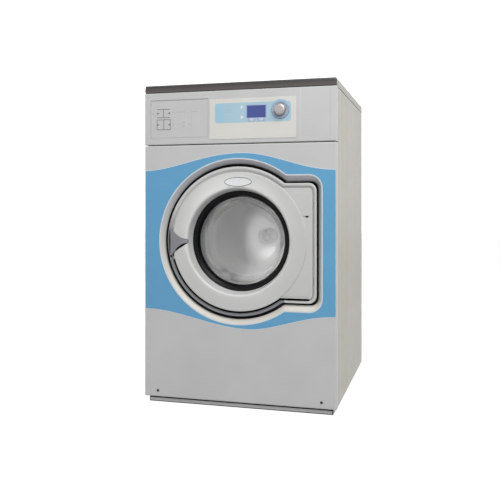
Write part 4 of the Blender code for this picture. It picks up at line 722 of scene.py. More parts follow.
class Shop:
    """The finishes of the machine."""

    paint = Finish("paint_light", (200, 201, 200), 0.38, grain=900, depth=0.00004,
                   unevenness=0.012)
    # Painted shade: the cabinet's paint made darker and warmer for the sides, which catch less
    # light. The rear panel and its cover use it too.
    side_paint_shaded = Finish("paint_side_painted_shade", (183, 180, 168), 0.42, grain=900, depth=0.00004,
                        unevenness=0.014, flow=(1.0, 1.2, 0.01))
    top_paint = Finish("paint_top", (168, 163, 156), 0.42, grain=900, depth=0.00004,
                       unevenness=0.008)
    # Painted light and shade: the pocket's slope is darker and bluer above and lighter and warmer
    # below, as light falls on it.
    slope_painted_light = Graded("paint_pocket_painted_light", (188, 189, 194), 0.4, grain=900, depth=0.00004,
                         unevenness=0.012, below=(222, 218, 210), low=0.40, high=0.76)
    blue = Finish("film_blue", (96, 163, 205), 0.32, grain=1500, depth=0.000005, unevenness=0.008)
    # Pale film line: printed at the band's waves. Along the pocket's edge and on the first fascia
    # line it is a painted highlight.
    line = Finish("film_pale_line", (214, 220, 224), 0.35, unevenness=0.01)
    door = Finish("moulded_grey", (203, 204, 202), 0.36, grain=1500, depth=0.00002,
                  unevenness=0.01)
    handle = Finish("moulded_mid_grey", (132, 132, 137), 0.4, grain=1500, depth=0.00003)
    dark = Finish("moulded_dark", (46, 44, 43), 0.45, grain=1200, depth=0.00003)
    # Painted shading: the dark trim is lighter on its lower, rounded part, as the light falls on
    # it.
    trim = Graded("moulded_trim_painted_shading", (44, 41, 40), 0.35, grain=1200, depth=0.00002,
                  below=(80, 75, 71), low=1.092, high=1.108)
    black = Finish("gloss_black", (9, 9, 11), 0.3, grain=500, depth=0.00001, shine=0.1)
    rubber = Finish("rubber_dark", (38, 38, 40), 0.62, grain=600, depth=0.00006)
    # Painted shadow: near-black, laid in the door's edge gap, on the groove's lower wall and
    # behind the handle, where there is only shade.
    painted_black_shadow = Finish("rubber_black_painted_shadow", (8, 8, 9), 0.7, grain=600, depth=0.00004, shine=0.05)
    gasket = Finish("rubber_grey", (172, 175, 179), 0.55, grain=600, depth=0.00006)
    film = Finish("film_white", (219, 218, 212), 0.42, grain=1500, depth=0.00001, unevenness=0.01)
    strip = Finish("film_light_blue", (172, 202, 217), 0.36, unevenness=0.012)
    lavender = Finish("film_lavender", (166, 184, 216), 0.38, unevenness=0.012)
    screen = Finish("display_glass", (64, 79, 150), 0.16, unevenness=0.05, coat=0.2, shine=0.3)
    mark = Finish("film_mark_grey", (122, 126, 130), 0.45)
    mark_faint = Finish("film_mark_faint", (176, 178, 180), 0.45)
    rule = Finish("film_rule", (146, 178, 194), 0.45)
    tint = Finish("film_tint", (160, 202, 224), 0.38, unevenness=0.02)
    key = Finish("moulded_key", (206, 209, 226), 0.45, depth=0.000003, unevenness=0.01)
    pale = Finish("film_mark_white", (236, 238, 238), 0.45)
    dial = Finish("moulded_blue_grey", (130, 140, 162), 0.3, grain=1200, depth=0.00002, coat=0.2)
    # Painted light: a lighter copy of the dial's blue-grey for the bezel's dish, so that the dish
    # comes out lighter in its shade.
    dish = Finish("moulded_dish_painted_light", (172, 184, 202), 0.35, grain=1200, depth=0.00001)
    knob = Brushed("satin_knob", (158, 154, 153), 0.36, 1.0, 900.0, 0.00001, 0.05)
    silver = Brushed("satin_silver", (196, 198, 202), 0.28, 1.0, 900.0, 0.00001, 0.05)
    badge = Finish("moulded_badge", (212, 214, 215), 0.25, grain=900, depth=0.00001, coat=0.3)
    steel = Swept("stainless_brushed", (248, 248, 247), 0.40, 0.75, 500.0, 0.000004, 0.02)
    disc = Brushed("stainless_disc", (248, 248, 247), 0.40, 0.75, 500.0, 0.000004, 0.02)
    zinc = Spangle("galvanised_sheet", (168, 172, 174), 0.42, 0.85, 300.0, 0.00002, 0.09)
    cast = Finish("cast_aluminium", (158, 160, 162), 0.5, 0.9, 420.0, 0.0002, 0.06)
    iron = Finish("cast_iron", (72, 74, 78), 0.6, 0.6, 300.0, 0.0003, 0.08)
    glass = Clear("bowl_glass", (254, 255, 255), 0.03, depth=0.00004)
    plastic = Finish("moulded_white", (206, 205, 198), 0.4, grain=900, depth=0.00003)
    board = Finish("board_green", (34, 92, 58), 0.35, grain=200, depth=0.0001, unevenness=0.12)
    wire = Finish("spring_wire", (150, 152, 156), 0.3, 0.9, 300.0, 0.00002, 0.04)
    tub = Brushed("stainless_tub", (186, 187, 189), 0.34, 1.0, 500.0, 0.00002, 0.05)
    # Painted shadow: a dark finish for gaps, seams and a notch that are dark only from shade.
    painted_gap_shadow = Finish("shadow_gap", (34, 32, 31), 0.8, shine=0.1)
    # Painted shade: a grey line along the door's groove, where its wall is in shade.
    shade = Finish("moulded_painted_shade_line", (140, 140, 142), 0.5, grain=1500)
    # Painted shade: the door's upper-left rim turns grey towards its lower part.
    rim = Graded("moulded_rim_painted_shade", (203, 204, 202), 0.4, grain=1500, depth=0.00002,
                 below=(136, 136, 141), low=0.605, high=0.69)
    # Painted shade: mid-grey for the door's lower channel, which lies in the disc's shadow.
    channel = Finish("moulded_channel_painted_shade", (134, 136, 140), 0.5, grain=1500, shine=0.2)


# Cabinet


@dataclass
class Pocket:
    """The door pocket's lines on the front, each a circle run into a box on the right."""

    axis: Pair = (0.0, 0.570)
    box_height: float = 0.567
    points: int = 300
    corner_points: int = 10
    corner_heights: Pair = (0.797, 0.337)
    corner_x: float = 0.294
    crowd_reach: float = 0.16
    crowd: int = 56

    def line(self, radius: float, right: float, half: float, corner: float) -> Array:
        """A keyhole outline, anticlockwise from where the circle meets the box above."""
        top, low = self.box_height + half, self.box_height - half
        start = math.asin((top - self.axis[1]) / radius)
        stop = TURN + math.asin((low - self.axis[1]) / radius)
        lower, upper = (arc((right - corner, middle), corner, begin, begin + QUARTER,
                            self.corner_points)
                        for middle, begin in ((low + corner, -QUARTER), (top - corner, 0.0)))
        return np.concatenate([arc(self.axis, radius, start, stop, self.points), lower, upper])

    def star(self, radius: float, right: float, half: float, corner: float,
             grow: float = 0.0) -> Star:
        """The keyhole grown all round, read by angle from the door's axis."""
        return Star(self.axis, self.line(radius + grow, right + grow, half + grow, corner + grow))

    def mouth(self, grow: float = 0.0) -> Star:
        """Where the pocket leaves the front face."""
        return self.star(0.281, 0.290, 0.226, 0.042, grow)

    def throat(self, grow: float = 0.0) -> Star:
        """The bottom of the pocket's slope, round the door's edge."""
        return self.star(0.2645, 0.277, 0.2055, 0.024, grow)

    def rim(self, grow: float = 0.0) -> Star:
        """The door's outer edge."""
        return self.star(0.258, 0.274, 0.2025, 0.028, grow)

    def angles(self, extra: Sequence[Row] = (), count: int = 360) -> Array:
        """Angles round the axis, closer at the box's corners and at the extra points."""
        crowd = [np.linspace(-math.pi, math.pi, count, endpoint=False)]
        for height in self.corner_heights:
            aim = math.atan2(height - self.axis[1], self.corner_x)
            crowd.append(np.linspace(aim - self.crowd_reach, aim + self.crowd_reach, self.crowd))
        crowd += [np.array([math.atan2(z - self.axis[1], x)]) for x, z in extra]
        every = np.sort(np.concatenate(crowd))
        return every[np.append(True, np.diff(every) > 1e-5)]


@dataclass
class FrontPanel:
    """The pressed front panel with the door pocket, and the film band printed round it."""

    half_width: float = 0.340
    low: float = 0.022
    high: float = 0.9025
    bend: float = 0.004
    return_depth: float = 0.032
    throat_depth: float = 0.016
    throat_round: float = 0.0012
    slope: tuple[Pair, ...] = ((0.12, 0.88), (0.5, 0.47), (0.86, 0.1), (0.93, 0.035), (1.0, 0.0))
    floor_depth: float = 0.062
    floor_round: float = 0.004
    port_radius: float = 0.178
    port_round: float = 0.001
    wall: float = 0.0012
    film: float = 0.0004
    film_edge: float = 0.3364
    line_width: float = 0.0022
    heights_top: Triple = (0.816, 0.8735, 0.813)
    heights_low: Triple = (0.328, 0.271, 0.324)
    peak_x: float = 0.012
    trough_x: float = 0.045
    screw_x: float = 0.290
    screw_z: float = 0.043
    screw_radius: float = 0.0055
    pocket: Pocket = field(default_factory=Pocket)

    def edge(self, ring: Array, shift: float) -> Array:
        """The panel's rectangular edge moved in by shift."""
        return np.clip(ring, [shift - self.half_width, self.low + shift],
                       [self.half_width - shift, self.high - shift])

    def wave(self, heights: Row, middle: float, shift: float) -> Array:
        """The band's edge: two half cosine waves from side to middle to side."""
        out = []
        for (x0, x1), (z0, z1) in zip(((-self.film_edge, middle), (middle, self.film_edge)),
                                      zip(heights[:-1], heights[1:])):
            share = np.linspace(0, 1, 60)
            rise = ((1 - np.cos(math.pi * share)) / 2) ** (0.85 if z1 > z0 else 1.0)
            out.append(np.stack([x0 + (x1 - x0) * share, z0 + (z1 - z0) * rise + shift], -1))
        return np.concatenate(out)

    def band_line(self, shift: float) -> Array:
        """The band's whole outline, its waves moved in by shift."""
        top = self.wave(self.heights_top, self.peak_x, -shift)
        low = self.wave(self.heights_low, self.trough_x, shift)
        return np.concatenate([low, top[::-1]])

    def build_panel(self) -> None:
        """Pocket floor, wall, slope, lip, flat front, bends and returns in one skin."""
        wide, pocket = self.half_width, self.pocket
        floor, deep = self.floor_depth, self.throat_depth
        angles = pocket.angles([(x, z) for x in (-wide, wide) for z in (self.low, self.high)])
        box = Star(pocket.axis, rectangle(-wide, wide, self.low, self.high)).at(angles)
        port, port_rim = (Star(pocket.axis, circle(self.port_radius + grow, 240, pocket.axis))
                          for grow in (0.0, self.port_round))
        skin = Patchwork("front_panel_skin")
        rings = [port.ring(angles, floor + 4 * self.port_round),
                 port.ring(angles, floor + self.port_round), port_rim.ring(angles, floor)]
        rings += [pocket.throat(-side).ring(angles, floor - up)
                  for side, up in np.array(quarter(4)) * self.floor_round]
        rings.append(pocket.throat().ring(angles, deep + 0.020))
        skin.loft(rings, 0)
        rings = [rings[-1], pocket.throat().ring(angles, deep + 0.004)]
        rings += [pocket.throat(self.throat_round * up).ring(angles, deep + 0.002 * side)
                  for side, up in quarter(3)[1:]]
        # Finish 2 on the throat's wall is painted shadow, as dark as the gap round the door.
        skin.loft(rings, 2)
        throat, mouth = pocket.throat(self.throat_round).at(angles), pocket.mouth().at(angles)
        rings = [rings[-1]] + [spread(throat * (1 - share) + mouth * share, deep * depth)
                               for share, depth in self.slope]
        skin.loft(rings, 1)
        rings = [rings[-1], pocket.mouth(0.004).ring(angles, 0.0),
                 spread(self.edge(box, self.bend * EDGE_MARGIN), 0.0)]
        rings += [spread(self.edge(box, self.bend * side), self.bend * up)
                  for side, up in quarter(5)]
        rings.append(spread(self.edge(box, 0.0), self.return_depth))
        skin.loft(rings, 0)
        skin.build([Shop.paint, Shop.slope_painted_light, Shop.painted_gap_shadow], "cabinet", "light_paint",
                   ["front_panel"], facing=FRONTWARD, thick=self.wall)

    def build_band(self) -> None:
        """The printed film: a pale line at the pocket, painted as the highlight on its edge, the
        blue field, and printed pale lines at the waves.
        """
        outer, inner = self.band_line(0.0), self.band_line(self.line_width)
        ends = [line[i] for line in (outer, inner) for i in (0, 59, 119, 120, 179, 239)]
        angles = self.pocket.angles([tuple(p) for p in ends], 420)
        rings = [self.pocket.mouth(grow).ring(angles, -self.film * lift)
                 for grow, lift in ((0.0004, 0.0), (0.0006, 1.0), (0.0042, 1.0))]
        field_edge = Star(self.pocket.axis, inner).ring(angles, -self.film)
        rim = Star(self.pocket.axis, outer)
        skin = Patchwork("front_band_film")
        skin.loft(rings, 1)
        skin.loft([rings[-1], field_edge], 0)
        skin.loft([field_edge, rim.ring(angles, -self.film), rim.ring(angles, 0.0)], 1)
        skin.build([Shop.blue, Shop.line], "cabinet", "blue_foil", ["front_band"],
                   facing=FRONTWARD)

    def build_screws(self) -> None:
        """Two dark pan-head screws near the lower corners, their cross recess drawn as raised
        black bars of painted shade.
        """
        for side in Side:
            x = side.value * self.screw_x
            head = Patchwork(f"front_screw_{side.word}")
            profile = [(0.0, -0.0026), *arc((0.0, 0.0035), 0.0061, -QUARTER, -0.61, 6).tolist(),
                       (self.screw_radius, 0.0002)]
            head.turn(profile, (x, 0.0, self.screw_z), steps=32)
            for turn in (0, 1):
                half = (0.0028, 0.0006) if turn else (0.0006, 0.0028)
                head.plate(rectangle(x - half[0], x + half[0], self.screw_z - half[1],
                                     self.screw_z + half[1]), -0.0028, -0.0015, 0.0002,
                           finish=1)
            head.build([Shop.dark, Shop.black], "cabinet", "dark_trim")

    def build(self) -> None:
        """Build the panel, its band and its screws."""
        self.build_panel()
        self.build_band()
        self.build_screws()


# Door


@dataclass
class Door:
    """The round door: moulded cover, cast frame, gasketed glass bowl, badge and handle."""

    axis_z: float = 0.570
    disc_radius: float = 0.2380
    disc_shift: float = 0.0025
    rim_gaps: Pair = (0.0023, 0.0014)
    disc_round: float = 0.0024
    edge_depth: float = 0.018
    rim_depth: float = 0.0050
    rim_round: float = 0.0035
    groove_depth: float = 0.0100
    channel_depth: float = 0.0150
    channel_radius: float = 0.2450
    plane_depth: float = 0.0042
    mouth_radius: float = 0.1830
    funnel_radius: float = 0.1742
    funnel_depth: float = 0.040
    wall: float = 0.0016
    ring_outer: float = 0.1855
    ring_inner: float = 0.1575
    ring_depth: float = 0.0502
    bowl_depth: float = 0.150
    glass_wall: float = 0.004
    badge_x: float = 0.0035
    badge_z: float = 0.7735
    badge_half: Pair = (0.0500, 0.0172)
    handle_tip: Pair = (-0.1800, 0.569)
    handle_rim: float = -0.2455
    handle_rises: Pair = (0.046, 0.054)
    handle_ends: Pair = (0.609, 0.519)
    handle_tip_half: float = 0.0070
    handle_gap: float = 0.0006
    finger_gap: float = 0.0085
    block_right: float = 0.2492
    blocks: tuple[Pair, ...] = ((0.6584, 0.7345), (0.3888, 0.4713))
    channel_turns: Pair = (181, 324)
    channel_fades: Pair = (5, 4)
    shade_stop: float = 309
    shadow_turns: Pair = (120, 186)
    gap_strip_grows: tuple[Triple, ...] = (
        (0.0, 0.0, 0.0088), (0.0014, 0.0046, 0.0090), (0.0021, 0.0055, 0.0110),
        (0.0018, 0.0050, 0.0200), (0.0008, 0.0030, 0.0210))
    bank_steps: tuple[Pair, ...] = ((0.5, 0.10), (0.85, 0.30), (1.0, 0.45))
    floor_steps: tuple[Pair, ...] = ((0.12, 0.9), (0.8, 1.0), (1.0, 1.0))
    bowl_side: tuple[Pair, ...] = (
        (0.1592, 0.0630), (0.1478, 0.0740), (0.1420, 0.0902), (0.1279, 0.1245), (0.0980, 0.1448))
    bowl_shares: tuple[float, ...] = (0.95, 0.7, 0.35, 0.3, 0.3)
    gap_strip_inset: float = 0.0004
    gap_strip_depths: Pair = (0.0210, 0.0098)
    opening_bow: float = 0.0052
    opening_widening: float = 0.0016
    opening_cut: Pair = (-0.02, 0.012)
    well_span: Pair = (0.0150, 0.0160)
    badge_lift: float = 0.0014
    badge_round: float = 0.0006
    border_inset: float = 0.0022
    border_radius: float = 0.0009
    handle_span: Pair = (0.0012, 0.0078)
    handle_round: float = 0.0015
    handle_back_round: float = 0.001
    barrel: tuple[Triple, Triple] = ((-0.229, 0.0085, 0.522), (-0.229, 0.0085, 0.603))
    barrel_radius: float = 0.0048
    pocket: Pocket = field(default_factory=Pocket)

    @property
    def centre(self) -> Triple:
        """The middle of the door on the front face."""
        return (0.0, 0.0, self.axis_z)

    def ring(self, radius: float, angles: Array, depth: float, shift: float = 0.0) -> Array:
        """A circle about the door's axis, or one shifted across, at the given angles."""
        return polar(radius, angles, depth, (shift, self.axis_z))

    def disc_line(self, angles: Array, grow: float, right: float) -> Array:
        """The raised face's outline, its circle shifted across from the door's axis."""
        disc = Pocket(axis=(self.disc_shift, self.axis_z))
        line_of = disc.line(self.disc_radius + grow, right, 0.1850 + right - 0.2595,
                            0.0135 + right - 0.2595)
        return Star(self.pocket.axis, line_of).at(angles)

    def fan(self, grow: float, drop: float = 0.0, bow: float = -0.0015) -> Array:
        """The handle's outline: hollow curves from the rim to a blunt rounded tip.

        With s the share from tip to rim, the upper half height is tip half + rise * s^2.3 and
        the lower one tip half + rise * s^2.2, each up to its end.

        Args:
            grow: how far the outline stands out all round.
            drop: how much further its lower curve stands out.
            bow: how far the rim side swells out in its middle.
        """
        tip_x, tip_z = self.handle_tip
        half, (rise, fall), (top, low) = self.handle_tip_half, self.handle_rises, self.handle_ends
        s = np.linspace(0.0, 1.0, 28) ** 1.5
        x = tip_x + grow + (self.handle_rim - tip_x - 2 * grow) * s
        up = np.minimum(half + rise * s ** 2.3, top - tip_z)
        down = np.minimum(half + fall * s ** 2.2, tip_z - low) + drop * np.minimum(s / 0.3, 1)
        blunt = 1 - 0.5 * (1 - np.minimum(s / 0.05, 1.0)) ** 2
        upper = np.stack([x, tip_z + up * blunt + grow], -1)
        lower = np.stack([x, tip_z - down * blunt - grow], -1)
        shares = np.linspace(0, 1, 9)[1:-1]
        rim = np.stack([self.handle_rim - grow - bow * np.sin(math.pi * shares),
                        upper[-1][1] + (lower[-1][1] - upper[-1][1]) * shares], -1)
        return np.concatenate([upper, rim, lower[::-1]])

    def below(self, angles: Array) -> Array:
        """How deep the channel is at an angle: full from the handle round below to the box."""
        turn = np.degrees(angles) % 360
        (start, stop), (rise, fall) = self.channel_turns, self.channel_fades
        return np.clip((turn - start) / rise, 0, 1) * np.clip((stop - turn) / fall, 0, 1)

    @staticmethod
    def across(angles: Array, left: Array, right: Array) -> Array:
        """Two lines mixed by angle, all of one at the left and of the other at the right."""
        share = (1 + np.cos(angles))[:, None] / 2
        return left * (1 - share) + right * share

    def edge_line(self, angles: Array, grow: float) -> Array:
        """The door's edge in view: moved in more on the left than on the right."""
        return self.across(angles, *(self.pocket.rim(grow - gap).at(angles)
                                     for gap in self.rim_gaps))

    def build_gap_shadow_strip(self) -> None:
        """A black strip round the door's edge: painted shadow that fills the pocket's gap, which
        is dark only from shade.
        """
        angles = self.pocket.angles(count=420)
        rings = [spread(self.edge_line(angles, -self.gap_strip_inset), depth)
                 for depth in self.gap_strip_depths]
        for right, left, depth in self.gap_strip_grows:
            sides = (self.pocket.rim(grow).at(angles) for grow in (left, right))
            rings.append(spread(self.across(angles, *sides), depth))
        rings.append(rings[0])
        strip = Patchwork("door_edge_strip")
        strip.loft(rings)
        strip.build([Shop.painted_black_shadow], "door", "black_rubber")

    def build_cover(self) -> None:
        """Rim, groove, raised face and window funnel, with the handle's opening cut out and
        painted shade on the rim and groove.
        """
        angles = self.pocket.angles(count=420)
        foot_line = self.disc_line(angles, 0.0012, 0.2607)
        turn = np.degrees(angles) % 360
        low = self.below(angles)[:, None]
        deep = self.groove_depth + (self.channel_depth - self.groove_depth) * low
        rim = [spread(self.edge_line(angles, 0.0), depth)
               for depth in (self.edge_depth, self.rim_depth + 2 * self.rim_round)]
        rim += [spread(self.edge_line(angles, -self.rim_round * up),
                       self.rim_depth + self.rim_round * side)
                for side, up in quarter(4)]
        brink = self.edge_line(angles, -self.rim_round)
        bank = self.pocket.star(self.channel_radius, 0.2607, 0.1925, 0.0147).at(angles)
        bank = bank * low + (brink * 0.4 + foot_line * 0.6) * (1 - low)
        for share, fall in self.bank_steps:
            line_of = spread(brink * (1 - share) + bank * share, self.rim_depth)
            line_of[:, 1] += ((self.groove_depth - self.rim_depth) * fall
                              + low[:, 0] * 0.004 * share)
            rim.append(line_of)
        shade_from = len(rim) - 1
        for share, fall in self.floor_steps:
            line_of = spread(bank * (1 - share) + foot_line * share, 0.0)
            line_of[:, 1] += self.rim_depth + ((deep - self.rim_depth)
                                               * (0.45 + 0.55 * fall))[:, 0]
            rim.append(line_of)
        rim.append(spread(self.disc_line(angles, 0.0, 0.2595), self.plane_depth + 0.0012))
        shade_to = len(rim) - 1
        rim.append(spread(self.disc_line(angles, -0.0001, 0.2590), self.plane_depth))
        rim.append(self.ring(self.disc_radius, angles, self.plane_depth, self.disc_shift))
        rim += [self.ring(self.disc_radius - self.disc_round * up, angles,
                          self.disc_round * side, self.disc_shift) for side, up in quarter(4)]
        rim.append(self.ring(self.disc_radius - 2.5 * self.disc_round, angles, 0.0,
                             self.disc_shift))
        lip = rounded([(self.mouth_radius + 0.016, 0.0), (self.mouth_radius - 0.0015, 0.0),
                       (self.funnel_radius, self.funnel_depth)], [0, 0.015, 0], 12)
        rim += [self.ring(radius, angles, depth) for radius, depth in lip]
        skin = Patchwork("door_cover_skin")
        skin.loft(rim)
        # Painted shade by strip: 2 greys the lower channel, 3 blackens its inner wall as shadow, 4
        # greys the upper-left rim downwards, and 1 draws a thin grey shade line along the groove
        # elsewhere.
        marks = np.zeros((len(rim) - 1, len(angles)), int)
        under, (start, stop) = low[:, 0] > 0.5, self.shadow_turns
        marks[2:shade_from, under & (turn < self.shade_stop)] = 2
        marks[2:shade_from, ~under & (turn > start) & (turn < stop)] = 4
        marks[shade_from:shade_to, under] = 3
        marks[shade_from + 2:shade_to, ~under] = 1
        skin.marks = marks.reshape(-1).tolist()
        cut = Patchwork("handle_opening")
        opening = self.fan(self.handle_gap, self.finger_gap, self.opening_bow)
        opening[:, 0] -= self.opening_widening * (opening[:, 0] < self.handle_rim)
        cut.plate(opening, *self.opening_cut, 0.0)
        skin.build([Shop.door, Shop.shade, Shop.channel, Shop.painted_black_shadow, Shop.rim], "door", "door_grey",
                   ["door_cover"], facing=FRONTWARD, thick=self.wall, cutters=[cut.shape()])
        # A black plate behind the handle's opening: painted shadow in the finger gap.
        well = Patchwork("handle_well")
        well.plate(self.fan(self.handle_gap + 0.0005, self.finger_gap), *self.well_span, 0.0)
        well.build([Shop.painted_black_shadow], "door", "dark_trim")

    def build_blocks(self) -> None:
        """The two covers over the hinge screws, and the small notch under the upper one as a flat
        dark triangle of painted shadow.
        """
        for name, (low, high) in zip(("upper", "lower"), self.blocks):
            edge = self.disc_radius + 0.0006
            start = math.asin((low - self.axis_z) / edge)
            stop = math.asin((high - self.axis_z) / edge)
            bow = arc((0.0, self.axis_z), edge, stop, start, 16)
            corners = rounded([(self.block_right, low), (self.block_right, high)], [0, 0])
            cover = Patchwork(f"hinge_cover_{name}")
            cover.plate(np.concatenate([bow, corners]), self.plane_depth - 0.0022,
                        self.plane_depth + 0.0002, 0.0007)
            cover.build([Shop.door], "door", "door_grey")
        notch = Patchwork("hinge_notch")
        x, z = self.block_right - 0.0170, self.blocks[0][0] - 0.0002
        notch.plate(np.array([(x, z), (x + 0.0085, z - 0.0070), (x + 0.0165, z)]),
                    self.plane_depth - 0.0003, self.plane_depth + 0.0002, 0.0001)
        notch.build([Shop.painted_gap_shadow], "door", "dark_trim")

    def build_badge(self) -> None:
        """A bare oval plate above the window, with a thin raised border."""
        t = wheel(96)
        half_x, half_z = self.badge_half
        oval = np.stack([self.badge_x + half_x * np.cos(t), self.badge_z + half_z * np.sin(t)], -1)
        plate = Patchwork("oval_plate")
        plate.plate(oval, -self.badge_lift, 0.0001, self.badge_round)
        border = spread(inset(oval, self.border_inset), -self.badge_lift)
        plate.tube(border, self.border_radius, 8, closed=True, finish=1, up=(0, 1, 0))
        plate.build([Shop.badge, Shop.dark], "door", "door_grey")

    def build_handle(self) -> None:
        """The pull handle: a hollow-sided fan with a soft edge and a barrel at its hinge."""
        handle = Patchwork("door_handle_fan")
        handle.plate(self.fan(0.0), *self.handle_span, self.handle_round,
                     back_edge=self.handle_back_round)
        handle.tube(np.array(self.barrel), self.barrel_radius, 24, up=(1, 0, 0))
        handle.build([Shop.handle], "handle", "handle_grey", ["door_handle"])

    def build_window(self) -> None:
        """The black window ring and the glass bowl."""
        inner, outer = self.ring_inner, self.ring_outer
        back = self.ring_depth
        profile = rounded([(outer, back), (outer, 0.0405), (0.1752, 0.0405), (0.1725, 0.0388),
                           (0.1700, 0.0392), (inner + 0.0015, back - 0.0040),
                           (inner - 0.0010, back + 0.0010), (0.1530, 0.0600),
                           (0.1543, 0.0603), (inner + 0.0010, back)],
                          [0, 0.001, 0.001, 0.001, 0.0015, 0.0012, 0.0030, 0.0005, 0.0005, 0], 4)
        ring = Patchwork("window_ring_fine")
        ring.turn(profile, self.centre, steps=160, closed=True)
        ring.build([Shop.black], "door", "black_rubber", ["window_ring"])
        wall, rim = self.glass_wall, inner + 0.0015
        side = self.bowl_side
        outside = rounded([(0.1853, back + 0.0002), (0.1853, back + 0.0044),
                           (rim + 0.0010, back + 0.0044), *side, (0.0, self.bowl_depth)],
                          [0, 0.001, 0.001, 0.004, 0.006, 0.015, 0.030, 0.060, 0], 8)
        inside = rounded([(0.0, self.bowl_depth - wall)]
                         + [(radius - wall, along - wall * share) for (radius, along), share
                            in zip(side[::-1], self.bowl_shares)]
                         + [(rim, back + 0.0002)],
                         [0, 0.060, 0.030, 0.015, 0.006, 0.002, 0], 8)
        bowl = Patchwork("door_glass_bowl")
        bowl.turn(np.concatenate([outside, inside]), self.centre, steps=144)
        rim_ring = np.array([(rim, back + 0.0002), (0.1853, back + 0.0002)])
        bowl.turn(rim_ring, self.centre, steps=144)
        bowl.build([Shop.glass], "door", "glass", ["door_glass"])

    def build(self) -> None:
        """Build every piece of the door."""
        self.build_cover()
        self.build_gap_shadow_strip()
        self.build_blocks()
        self.build_badge()
        self.build_handle()
        self.build_window()


# Controls


